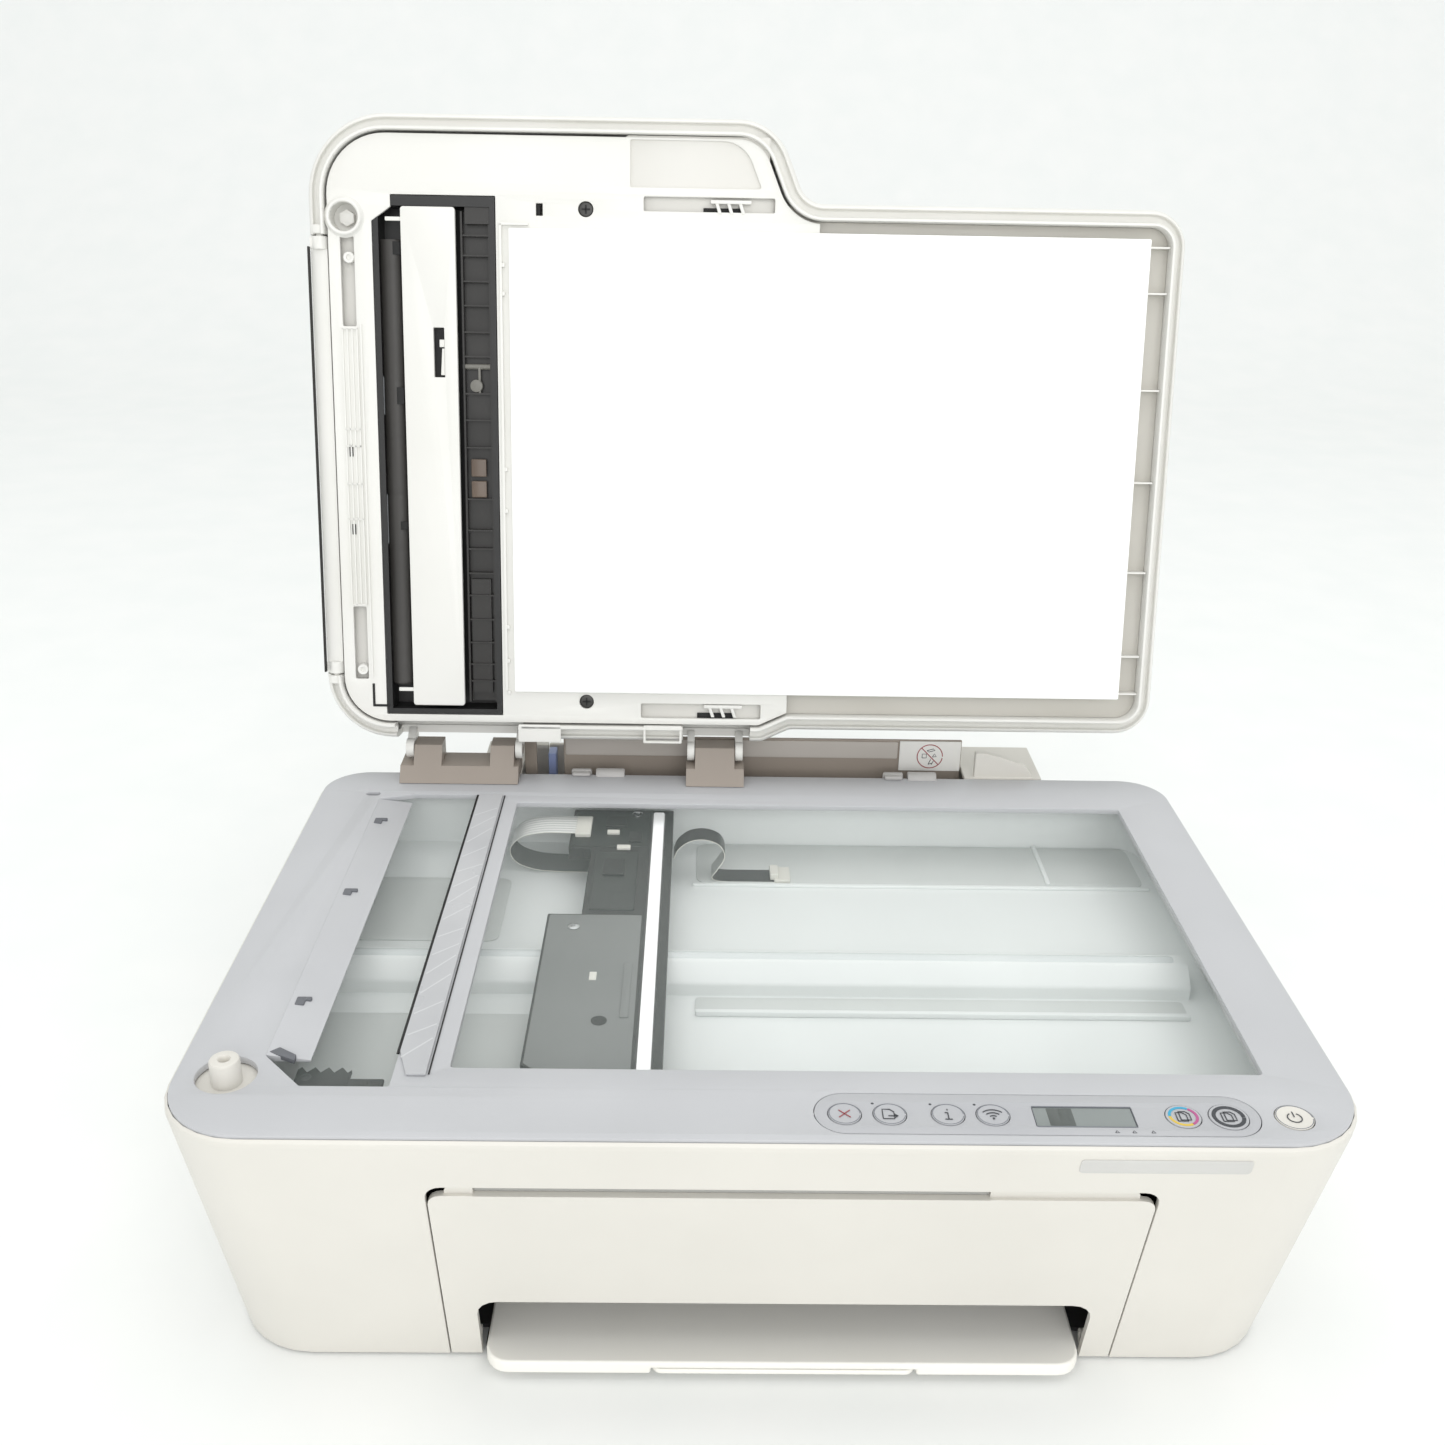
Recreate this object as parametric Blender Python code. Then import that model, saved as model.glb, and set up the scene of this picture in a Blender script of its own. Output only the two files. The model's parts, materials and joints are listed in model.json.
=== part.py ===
"""All-in-one inkjet printer: flat-bed scanner, document feeder in the lid, front cartridge door.

Everything is drawn in millimetres from the centre of the scan window, on the bezel's top plane:
X to the right, Y to the back, Z up.  The empty "printer" then stands the model on Z = 0.
The lid is drawn shut and turned open about its hinge at the end.
"""
import math

import bmesh
import bpy
from mathutils import Matrix, Vector

MM = 0.001
GAP = 0.3                      # clearance between pieces that touch

# ---- overall sizes -------------------------------------------------------------------------
BEZEL_LEFT, BEZEL_RIGHT = -247.0, 177.0
BEZEL_FRONT, BEZEL_BACK = -148.0, 141.5
BEZEL_THICK = 2.8
BEZEL_R_FRONT, BEZEL_R_BACK = 31.0, 21.0
BODY_HEIGHT = 130.0            # floor to the bezel's top plane
RIM = 2.0                      # white rim outside the bezel
FLOOR_GAP = 1.0                # casing's lower edge above the floor
SIDE_TAPER = 8.0               # how far each side leans in at the floor
FRONT_TAPER = 33.0
BACK_TAPER = 11.0
WALL = 2.5
BODY_X = -(BEZEL_LEFT + BEZEL_RIGHT) / 2
BODY_Y = -46.9                 # puts the origin under the middle of the whole model

# ---- scanner ---------------------------------------------------------------------------------
WINDOW_X, WINDOW_Y = 149.0, 108.5
GLASS_THICK = 2.9
GLASS_LAP = 4.0
FEED_LEFT, FEED_RIGHT = -201.0, -169.0
FEED_FRONT, FEED_BACK = -120.0, 116.5
TUB_FLOOR = -34.0
TUB_LEFT, TUB_RIGHT = -240.0, 168.0
TUB_FRONT, TUB_BACK = -128.0, 129.0
RAIL_Y = 0.0
CARRIAGE_RIGHT, CARRIAGE_LEFT = -72.0, -126.0
CARRIAGE_TOP = -11.0
POST_X, POST_Y, POST_R, POST_TOP = -228.5, -114.0, 5.5, 7.0
RACK_PITCH = 5.0
PINION_TEETH = 7

# ---- lid -------------------------------------------------------------------------------------
HINGE_Y, HINGE_Z = 142.7, 13.4
LID_OPEN = 100.8
LID_V0 = 111.0                 # lid sizes are measured forwards from this Y
LID_LEFT, LID_RIGHT = -246.5, 169.0
LID_FRONT_TALL, LID_FRONT_LOW = 273.0, 236.0
LID_BACK_TALL, LID_BACK_LOW = -25.5, -19.0
LID_RIM = 0.6                  # lid's rim above the bezel when shut
LID_FLOOR = 3.0                # frame's underside above the bezel when shut
LID_TOP = 25.0
FEEDER_RIGHT = -30.0
FEEDER_TOP = 67.0
FEEDER_DECK = 50.0
COVER_V0, COVER_V1 = 8.0, 217.0
COVER_RIGHT = -118.0
COVER_AXIS_X, COVER_AXIS_Z = -241.0, 7.0
PIN_R = 2.5

# ---- front -----------------------------------------------------------------------------------
DOOR_LEFT, DOOR_RIGHT = -153.6, 104.6
DOOR_TOP, DOOR_BOTTOM = -29.5, -128.5
DOOR_THICK = 3.0
TRAY_LEFT, TRAY_RIGHT = -139.0, 90.5
TRAY_TOP = -119.5
TRAY_FRONT, TRAY_BACK = -130.6, -15.0
DOOR_CUT_TOP = -94.0
DOOR_CUT_GAP = 2.5
PANEL_X0, PANEL_X1 = -18.0, 139.8
PANEL_Y0, PANEL_Y1 = -144.1, -121.4
BUTTON_Y = -133.3
BUTTONS = {"cancel_button": (-7.1, 5.8), "resume_button": (8.8, 5.8), "info_button": (29.3, 5.8),
           "wireless_button": (45.1, 5.8), "colour_copy_button": (112.3, 6.2),
           "black_copy_button": (128.4, 6.9)}
POWER_X, POWER_R = 151.7, 6.7
DISPLAY_X0, DISPLAY_X1 = 59.4, 95.0
DISPLAY_Y0, DISPLAY_Y1 = -139.5, -128.0

# ---- rear ------------------------------------------------------------------------------------
REAR_LEFT, REAR_RIGHT = -172.0, 118.0
REAR_DEPTH = 42.0
SLOT_LEFT, SLOT_RIGHT = -151.0, 78.0
SHIELD_TOP, SHIELD_THICK = 15.0, 1.8

# ---- print engine ------------------------------------------------------------------------------
ROD_Y, ROD_Z, ROD_R = 10.0, -66.0, 4.0
ENGINE_LEFT, ENGINE_RIGHT = -226.0, 158.0
CAR_LEFT, CAR_RIGHT = 84.0, 146.0
CAR_FRONT, CAR_BACK = -52.0, 24.0
CAR_TOP, CAR_BOTTOM = -48.0, -100.0
FEED_Y, FEED_Z, FEED_R = 52.0, -100.0, 6.0
OUT_Y, OUT_Z, OUT_R = -56.0, -106.0, 4.0
PICK_Y, PICK_Z, PICK_R = 147.0, -70.0, 14.0
BELT_R = 6.0

WHITE, GREY, TAUPE, BLACK, DARK = "white_casing", "grey_bezel", "taupe_fittings", "black_inner", "dark_grey_inner"
FINISHES = {
    WHITE: ((0.83, 0.82, 0.79), 0.42, 0.0), GREY: ((0.56, 0.58, 0.62), 0.5, 0.0),
    TAUPE: ((0.36, 0.32, 0.29), 0.55, 0.0), BLACK: ((0.02, 0.02, 0.02), 0.5, 0.0),
    DARK: ((0.09, 0.09, 0.09), 0.5, 0.0), "clear_glass": ((0.75, 0.82, 0.8), 0.05, 0.0),
    "panel_film": ((0.5, 0.53, 0.58), 0.35, 0.0), "tub_plastic": ((0.62, 0.64, 0.63), 0.5, 0.0),
    "steel": ((0.6, 0.6, 0.6), 0.25, 1.0), "rubber": ((0.03, 0.03, 0.03), 0.8, 0.0),
    "white_film": ((0.9, 0.9, 0.88), 0.6, 0.0), "circuit_board": ((0.02, 0.16, 0.07), 0.45, 0.0),
    "light_guide": ((0.95, 0.95, 0.95), 0.2, 0.0), "blue_guide": ((0.05, 0.2, 0.55), 0.4, 0.0),
    "display_glass": ((0.3, 0.33, 0.33), 0.2, 0.0), "dark_ribbon": ((0.05, 0.05, 0.05), 0.4, 0.0),
}

for old in list(bpy.data.objects):
    bpy.data.objects.remove(old, do_unlink=True)

parts = bpy.data.collections.new("inkjet_printer")
cutters = bpy.data.collections.new("cutters")
bpy.context.scene.collection.children.link(parts)
bpy.context.scene.collection.children.link(cutters)


# ---- drawing helpers -----------------------------------------------------------------------------
def finish(name):
    """The Principled material of one finish, made on first use."""
    found = bpy.data.materials.get(name)
    if found:
        return found
    colour, rough, metal = FINISHES[name]
    made = bpy.data.materials.new(name)
    made.use_nodes = True
    shader = made.node_tree.nodes["Principled BSDF"]
    shader.inputs["Base Color"].default_value = (*colour, 1.0)
    shader.inputs["Roughness"].default_value = rough
    shader.inputs["Metallic"].default_value = metal
    return made


def new_object(name, mesh):
    """A mesh object in the printer's collection."""
    piece = bpy.data.objects.new(name, mesh)
    parts.objects.link(piece)
    return piece


def apply_modifiers(piece):
    """Keep the modified mesh and drop the modifiers."""
    bpy.context.view_layer.update()
    mesh = bpy.data.meshes.new_from_object(piece.evaluated_get(bpy.context.evaluated_depsgraph_get()))
    piece.modifiers.clear()
    piece.data = mesh


def weld(mesh, distance=0.00001):
    """Join the loose caps of a curve's mesh to its sides."""
    body = bmesh.new()
    body.from_mesh(mesh)
    bmesh.ops.remove_doubles(body, verts=body.verts, dist=distance)
    bmesh.ops.recalc_face_normals(body, faces=body.faces)
    body.to_mesh(mesh)
    body.free()


def arc_corners(corners, steps=5):
    """Polygon (x, y, radius) with each corner turned into an arc."""
    points = []
    count = len(corners)
    for i, (x, y, radius) in enumerate(corners):
        here = Vector((x, y))
        before = (Vector(corners[i - 1][:2]) - here).normalized()
        after = (Vector(corners[(i + 1) % count][:2]) - here).normalized()
        if radius <= 0:
            points.append((x, y))
            continue
        half = before.angle(after) / 2
        reach = radius / math.tan(half)
        middle = here + (before + after).normalized() * (radius / math.sin(half))
        start = here + before * reach - middle
        end = here + after * reach - middle
        turn = start.angle_signed(end)
        for k in range(steps + 1):
            points.append(tuple(middle + Matrix.Rotation(-turn * k / steps, 2) @ start))
    return points


def rectangle(x0, y0, x1, y1, radius=0.0, steps=5):
    """Rectangle with round corners."""
    return arc_corners([(x, y, radius) for x, y in ((x0, y0), (x1, y0), (x1, y1), (x0, y1))], steps)


def circle(x, y, radius, sides=24):
    """Round outline."""
    turn = [2 * math.pi * k / sides for k in range(sides)]
    return [(x + radius * math.cos(a), y + radius * math.sin(a)) for a in turn]


PLANES = {
    "z": Matrix.Identity(3),
    "y": Matrix(((1, 0, 0), (0, 0, 1), (0, 1, 0))),
    "x": Matrix(((0, 0, 1), (1, 0, 0), (0, 1, 0))),
}


def slab(name, outlines, low, high, axis="z"):
    """Flat outline, holes after it, extruded from low to high along an axis.

    Along y the outline is (x, z); along x it is (y, z).
    """
    curve = bpy.data.curves.new(name, "CURVE")
    curve.dimensions = "2D"
    curve.fill_mode = "BOTH"
    curve.extrude = (high - low) / 2 * MM
    for outline in outlines:
        spline = curve.splines.new("POLY")
        spline.points.add(len(outline) - 1)
        spline.points.foreach_set("co", [v for x, y in outline for v in (x * MM, y * MM, 0.0, 1.0)])
        spline.use_cyclic_u = True
    drawn = new_object(name + "_outline", curve)
    bpy.context.view_layer.update()
    mesh = bpy.data.meshes.new_from_object(drawn.evaluated_get(bpy.context.evaluated_depsgraph_get()))
    bpy.data.objects.remove(drawn)
    mesh.transform(Matrix.Translation((0, 0, (high + low) / 2 * MM)))
    mesh.transform(PLANES[axis].to_4x4())
    weld(mesh)
    mesh.name = name
    return new_object(name, mesh)


def box(name, low, high):
    """Box between two corners."""
    bpy.ops.mesh.primitive_cube_add(size=1)
    made = bpy.context.object
    mesh = made.data
    bpy.data.objects.remove(made)
    size = [(b - a) * MM for a, b in zip(low, high)]
    centre = [(b + a) / 2 * MM for a, b in zip(low, high)]
    mesh.transform(Matrix.Translation(centre) @ Matrix.Diagonal((*size, 1)))
    mesh.name = name
    return new_object(name, mesh)


def rod(name, low, high, radius, axis="x", at=(0.0, 0.0), sides=20):
    """Cylinder from low to high along an axis; at gives its other two coordinates."""
    return slab(name, [circle(at[0], at[1], radius, sides)], low, high, axis)


def combine(piece, operation, others):
    """Boolean the others into a piece, one after another."""
    for other in others:
        parts.objects.unlink(other)
        cutters.objects.link(other)
        other.hide_render = True
        other.display_type = "WIRE"
        tool = piece.modifiers.new(operation.lower(), "BOOLEAN")
        tool.operation = operation
        tool.solver = "EXACT"
        tool.object = other
    apply_modifiers(piece)
    for other in others:
        bpy.data.objects.remove(other)
    return piece


def cut(piece, *others):
    """Take the others away from a piece."""
    return combine(piece, "DIFFERENCE", others)


def fuse(piece, *others):
    """Join the others to a piece."""
    return combine(piece, "UNION", others)


def loft(name, rings):
    """Closed wall through rings of equal length; the last ring joins the first."""
    body = bmesh.new()
    rows = [[body.verts.new((x * MM, y * MM, z * MM)) for x, y, z in ring] for ring in rings]
    for row, below in zip(rows, rows[1:] + rows[:1]):
        for i in range(len(row)):
            j = (i + 1) % len(row)
            body.faces.new((row[i], row[j], below[j], below[i]))
    bmesh.ops.recalc_face_normals(body, faces=body.faces)
    mesh = bpy.data.meshes.new(name)
    body.to_mesh(mesh)
    body.free()
    return new_object(name, mesh)


def strip(name, path, width_low, width_high, thickness, axis="y"):
    """Thin band: a path of points given a thickness, as wide as low to high along an axis."""
    sides = ([], [])
    for i, (x, z) in enumerate(path):
        ahead = Vector(path[min(i + 1, len(path) - 1)]) - Vector(path[max(i - 1, 0)])
        across = Vector((-ahead.y, ahead.x)).normalized() * thickness / 2
        sides[0].append((x + across.x, z + across.y))
        sides[1].append((x - across.x, z - across.y))
    return slab(name, [sides[0] + sides[1][::-1]], width_low, width_high, axis)


def move_points(piece, rule):
    """Shift each point of a piece by a rule on its millimetre coordinates."""
    for vertex in piece.data.vertices:
        vertex.co = Vector(rule(*(vertex.co / MM))) * MM
    return piece


def paint(piece, finish_name):
    """Give a piece its finish."""
    piece.data.materials.clear()
    piece.data.materials.append(finish(finish_name))
    piece.data.shade_smooth()
    piece.data.set_sharp_from_angle(angle=math.radians(32))
    return piece


# ---- the frame the pieces hang on ------------------------------------------------------------------
printer = bpy.data.objects.new("printer", None)
printer.location = (BODY_X * MM, BODY_Y * MM, BODY_HEIGHT * MM)
parts.objects.link(printer)


def pivot(name, x, y, z, parent=printer):
    """Empty on a joint's axis, with its place in millimetres from the scan window."""
    made = bpy.data.objects.new(name + "_axis", None)
    parts.objects.link(made)
    made.parent = parent
    place = Vector((x, y, z)) * MM
    made["place"] = list(place)
    made.location = place - (Vector(parent["place"]) if "place" in parent else Vector((0, 0, 0)))
    return made


def hang(parent, finish_name, *pieces):
    """Paint pieces and hang them on the printer or on a joint's empty, where they were drawn."""
    place = Vector(parent["place"]) if "place" in parent else Vector((0, 0, 0))
    for piece in pieces:
        paint(piece, finish_name)
        piece.parent = parent
        piece.location = -place


def front_lean(x, y, z):
    """Lean a front piece with the casing, whose foot stands further back than its rim."""
    return x, y + FRONT_TAPER * max(0.0, -z - RIM) / (BODY_HEIGHT - RIM), z


def lid_y(v):
    """Y, with the lid shut, of a point v mm forwards from the window's rear edge."""
    return LID_V0 - v


# ---- casing ----------------------------------------------------------------------------------------
def casing_ring(z, inset):
    """The casing's outline at a height, drawn in by an inset."""
    lean = max(0.0, -z - RIM) / (BODY_HEIGHT - RIM)
    x0 = BEZEL_LEFT - RIM + SIDE_TAPER * lean + inset
    x1 = BEZEL_RIGHT + RIM - SIDE_TAPER * lean - inset
    y0 = BEZEL_FRONT - RIM + FRONT_TAPER * lean + inset
    y1 = BEZEL_BACK + RIM - BACK_TAPER * lean - inset
    front, back = BEZEL_R_FRONT + RIM - inset, BEZEL_R_BACK + RIM - inset
    outline = arc_corners([(x0, y0, front), (x1, y0, front), (x1, y1, back), (x0, y1, back)], 7)
    return [(x, y, z) for x, y in outline]


CASING_FOOT = FLOOR_GAP - BODY_HEIGHT
SEAT = -BEZEL_THICK - GAP
casing = loft("base_shell", [
    casing_ring(CASING_FOOT, 0.0), casing_ring(-5.0, 0.0), casing_ring(-2.2, 0.5), casing_ring(-1.0, RIM - GAP),
    casing_ring(SEAT, RIM - GAP), casing_ring(SEAT, RIM + 0.6), casing_ring(-8.0, WALL + 0.6),
    casing_ring(CASING_FOOT, WALL)])
DOOR_GAP = 0.6
DOOR_HEAD = DOOR_TOP + 4.5
door_hole = slab("door_hole", [arc_corners([
    (DOOR_LEFT - DOOR_GAP, -140, 0), (DOOR_RIGHT + DOOR_GAP, -140, 0),
    (DOOR_RIGHT + DOOR_GAP, DOOR_HEAD, 6), (DOOR_LEFT - DOOR_GAP, DOOR_HEAD, 6)])], -175, -90, "y")
POWER_X0, POWER_X1, POWER_Z0, POWER_Z1 = 121.0, 143.0, -112.0, -94.0
USB_X0, USB_X1, USB_Z0, USB_Z1 = -200.0, -186.0, -112.0, -99.0
cut(casing, door_hole,
    box("paper_hole", (SLOT_LEFT - 3, 115, -122), (SLOT_RIGHT + 3, 150, -16)),
    box("power_hole", (POWER_X0 - GAP, 110, POWER_Z0 - GAP), (POWER_X1 + GAP, 150, POWER_Z1 + GAP)),
    box("usb_hole", (USB_X0 - GAP, 110, USB_Z0 - GAP), (USB_X1 + GAP, 150, USB_Z1 + GAP)))
hang(printer, WHITE, casing)

PAN_LOW, PAN_HIGH = CASING_FOOT + 0.4, CASING_FOOT + 2.2
pan_outline = [(x, y) for x, y, z in casing_ring(CASING_FOOT, WALL + 0.9)]
pan = slab("base_pan", [pan_outline], PAN_LOW, PAN_HIGH)
FOOT_R = 7.0
feet = [rod("foot", -BODY_HEIGHT, PAN_LOW + 1, FOOT_R, "z", (x, y), 16)
        for x in (BEZEL_LEFT + 27, BEZEL_RIGHT - 27) for y in (BEZEL_FRONT + 54, BEZEL_BACK - 30)]

# ---- bezel and glass -----------------------------------------------------------------------------
bezel_outline = arc_corners([
    (BEZEL_LEFT, BEZEL_FRONT, BEZEL_R_FRONT), (BEZEL_RIGHT, BEZEL_FRONT, BEZEL_R_FRONT),
    (BEZEL_RIGHT, BEZEL_BACK, BEZEL_R_BACK), (BEZEL_LEFT, BEZEL_BACK, BEZEL_R_BACK)], 7)
PANEL_R = (PANEL_Y1 - PANEL_Y0) / 2
POST_RECESS_R = 11.0
bezel = slab("scanner_bezel", [
    bezel_outline,
    rectangle(-WINDOW_X, -WINDOW_Y, WINDOW_X, WINDOW_Y, 1.5, 2),
    rectangle(FEED_LEFT, FEED_FRONT, FEED_RIGHT, FEED_BACK, 1.0, 2),
    circle(POST_X, POST_Y, POST_RECESS_R),
    circle(POWER_X, BUTTON_Y, POWER_R + GAP),
    rectangle(PANEL_X0, PANEL_Y0, PANEL_X1, PANEL_Y1, PANEL_R - 0.05, 8)], -BEZEL_THICK, 0.0)
hang(printer, GREY, bezel)

GLASS_TOP = -BEZEL_THICK - GAP
GLASS_LOW = GLASS_TOP - GLASS_THICK
scan_glass = box("scan_glass", (-WINDOW_X - GLASS_LAP, -WINDOW_Y - GLASS_LAP, GLASS_LOW),
                 (WINDOW_X + GLASS_LAP, WINDOW_Y + GLASS_LAP, GLASS_TOP))
feed_glass = box("feeder_glass", (FEED_LEFT - GLASS_LAP, FEED_FRONT - GLASS_LAP, GLASS_LOW),
                 (FEED_RIGHT + GLASS_LAP, FEED_BACK + GLASS_LAP, GLASS_TOP))
hang(printer, "clear_glass", scan_glass, feed_glass)
divider = slab("glass_divider", [[(-168.5, -100), (-164, -114), (-156.9, -114), (-156.9, 115.3), (-168.5, 115.3)]],
               GAP, 1.0)
hang(printer, "panel_film", divider)

post = fuse(rod("lid_post", GLASS_LOW, POST_TOP, POST_R, "z", (POST_X, POST_Y), 24),
            rod("post_disc", GLASS_LOW, GLASS_TOP, POST_RECESS_R + 1.5, "z", (POST_X, POST_Y), 24))
cut(post, rod("post_dimple", POST_TOP - 3, POST_TOP + 2, 2.0, "z", (POST_X, POST_Y), 16))
hang(printer, WHITE, post)

# ---- scanner underneath ----------------------------------------------------------------------------
TUB_WALL = 2.0
TUB_RIM = GLASS_LOW - GAP
tub = slab("scanner_tub", [arc_corners([(TUB_LEFT, TUB_FRONT, 22), (TUB_RIGHT, TUB_FRONT, 22),
                                        (TUB_RIGHT, TUB_BACK, 14), (TUB_LEFT, TUB_BACK, 14)])], TUB_FLOOR, TUB_RIM)
IN_LEFT, IN_RIGHT = TUB_LEFT + TUB_WALL, TUB_RIGHT - TUB_WALL
IN_FRONT, IN_BACK = TUB_FRONT + TUB_WALL, TUB_BACK - TUB_WALL
cut(tub, slab("tub_hollow", [arc_corners([(IN_LEFT, IN_FRONT, 20), (IN_RIGHT, IN_FRONT, 20),
                                          (IN_RIGHT, IN_BACK, 12), (IN_LEFT, IN_BACK, 12)])],
              TUB_FLOOR + TUB_WALL, 0.0))
TUB_TOP = TUB_FLOOR + TUB_WALL
rail = slab("scan_rail", [arc_corners([(RAIL_Y - 12, TUB_TOP - 1, 0), (RAIL_Y + 12, TUB_TOP - 1, 0),
                                       (RAIL_Y + 12, -26.0, 3), (RAIL_Y + 4, -19.0, 3),
                                       (RAIL_Y - 4, -19.0, 3), (RAIL_Y - 12, -26.0, 3)], 3)],
            IN_LEFT + 12, IN_RIGHT - 12, "x")
fuse(tub, rail)
hang(printer, "tub_plastic", tub)

RACK_LINE = -22.0
TOOTH = 1.6
RACK_X0, RACK_X1 = -206.0, 144.0
PINION_R = PINION_TEETH * RACK_PITCH / (2 * math.pi)


def rack_outline():
    """Straight teeth, one a pitch, along the rack's top."""
    points = [(RACK_X0, TUB_TOP + GAP), (RACK_X1, TUB_TOP + GAP)]
    count = int((RACK_X1 - RACK_X0) / RACK_PITCH)
    for k in range(count, 0, -1):
        x = RACK_X0 + k * RACK_PITCH
        for step, height in ((0.15, -TOOTH), (0.35, 0.0), (0.65, 0.0), (0.85, -TOOTH)):
            points.append((x - step * RACK_PITCH, RACK_LINE + height))
    return points


def gear_outline(x, y, radius, teeth, tall=TOOTH, half=0.16):
    """Gear with straight-sided teeth, its tips at the radius."""
    points = []
    for k in range(teeth):
        for step, reach in ((-half - 0.12, radius - tall), (-half, radius), (half, radius), (half + 0.12, radius - tall)):
            turn = 2 * math.pi * (k + step) / teeth
            points.append((x + reach * math.cos(turn), y + reach * math.sin(turn)))
    return points


rack = slab("scan_rack", [rack_outline()], IN_FRONT + GAP, IN_FRONT + 5, "y")
hang(printer, BLACK, rack)

carriage_axis = pivot("scan_slide", CARRIAGE_RIGHT - 25, 0.0, CARRIAGE_TOP)
BAR_X0, BAR_X1 = -82.0, -76.5
CARRIAGE_LOW = -18.0
CARRIAGE_FRONT = IN_FRONT + 6.2
carriage = slab("scan_carriage", [[
    (CARRIAGE_RIGHT, CARRIAGE_FRONT), (CARRIAGE_RIGHT, 124.0), (-122.0, 124.0), (-122.0, 83.0), (-111.0, 83.0),
    (-111.0, 21.0), (CARRIAGE_LEFT, 21.0), (CARRIAGE_LEFT, -91.0), (-112.0, -101.0), (-112.0, CARRIAGE_FRONT)]],
    CARRIAGE_LOW, CARRIAGE_TOP - 0.3)
bar_seat = box("bar_seat", (BAR_X0 - GAP, CARRIAGE_FRONT + 1.5, CARRIAGE_TOP - 5),
               (BAR_X1 + GAP, 122.0, 0.0))
cut(carriage, bar_seat)
light_bar = box("light_bar", (BAR_X0, CARRIAGE_FRONT + 2, CARRIAGE_TOP - 4.7), (BAR_X1, 121.5, CARRIAGE_TOP))
hang(carriage_axis, BLACK, carriage)
hang(carriage_axis, "light_guide", light_bar)
PINION_X = -100.0
PINION_Z = RACK_LINE + PINION_R + TOOTH / 2 - 0.1
pinion_axis = pivot("pinion", PINION_X, IN_FRONT + 3, PINION_Z, carriage_axis)
PINION_TIP = PINION_Z - RACK_LINE - 0.25
pinion = slab("scan_pinion", [gear_outline(PINION_X, PINION_Z, PINION_TIP, PINION_TEETH)],
              IN_FRONT + 0.6, IN_FRONT + 5.2, "y")
hang(pinion_axis, BLACK, pinion)

RIBBON_Y0, RIBBON_Y1 = 92.0, 112.0
LOOP_R = 7.3
LOOP_X = CARRIAGE_LEFT - 10
white_ribbon = strip("scan_ribbon_white", [(-122.8, TUB_TOP + 0.6), (LOOP_X, TUB_TOP + 0.6)] + [
    (LOOP_X - LOOP_R * math.sin(math.pi * k / 8), TUB_TOP + 0.6 + LOOP_R * (1 - math.cos(math.pi * k / 8)))
    for k in range(1, 8)] + [(LOOP_X, TUB_TOP + 0.6 + 2 * LOOP_R), (-122.8, TUB_TOP + 0.6 + 2 * LOOP_R)],
    RIBBON_Y0, RIBBON_Y1, 0.4)
hang(printer, "white_film", white_ribbon)
RIBBON_END = -20.0
dark_ribbon = strip("scan_ribbon_dark", [
    (CARRIAGE_RIGHT + 1.5 + (RIBBON_END - CARRIAGE_RIGHT - 1.5) * k / 10,
     TUB_TOP + 0.8 + LOOP_R * (1 + math.cos(math.pi * k / 10))) for k in range(11)], 84.0, 96.0, 0.4)
hang(printer, "dark_ribbon", dark_ribbon)

# ---- control panel -----------------------------------------------------------------------------------
overlay = slab("panel_overlay", [
    rectangle(PANEL_X0 + GAP, PANEL_Y0 + GAP, PANEL_X1 - GAP, PANEL_Y1 - GAP, PANEL_R - GAP - 0.05, 8),
    rectangle(DISPLAY_X0, DISPLAY_Y0, DISPLAY_X1, DISPLAY_Y1, 0.8, 2),
    *[circle(x, BUTTON_Y, radius + GAP) for x, radius in BUTTONS.values()]], -BEZEL_THICK, -0.1)
hang(printer, "panel_film", overlay)
display = box("display_window", (DISPLAY_X0 + GAP, DISPLAY_Y0 + GAP, -BEZEL_THICK),
              (DISPLAY_X1 - GAP, DISPLAY_Y1 - GAP, -0.4))
hang(printer, "display_glass", display)
BUTTON_LOW = -BEZEL_THICK - 0.2
for name, (x, radius) in {**BUTTONS, "power_button": (POWER_X, POWER_R)}.items():
    button = rod(name, BUTTON_LOW, 0.2, radius, "z", (x, BUTTON_Y), 20)
    hang(pivot(name, x, BUTTON_Y, 0.0), WHITE if name == "power_button" else GREY, button)

# ---- front door and trays ------------------------------------------------------------------------------
FRONT_PLANE = BEZEL_FRONT - RIM
DOOR_AXIS_Z = -122.0
CUT_LEFT, CUT_RIGHT = TRAY_LEFT - DOOR_CUT_GAP, TRAY_RIGHT + DOOR_CUT_GAP


def door_outline(top, inset):
    """The door with its tray cut-out, open at the foot."""
    return arc_corners([
        (DOOR_LEFT + inset, DOOR_BOTTOM, 0), (CUT_LEFT, DOOR_BOTTOM, 0), (CUT_LEFT, DOOR_CUT_TOP, 8),
        (CUT_RIGHT, DOOR_CUT_TOP, 8), (CUT_RIGHT, DOOR_BOTTOM, 0), (DOOR_RIGHT - inset, DOOR_BOTTOM, 0),
        (DOOR_RIGHT - inset, top, 5), (DOOR_LEFT + inset, top, 5)], 4)


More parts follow.
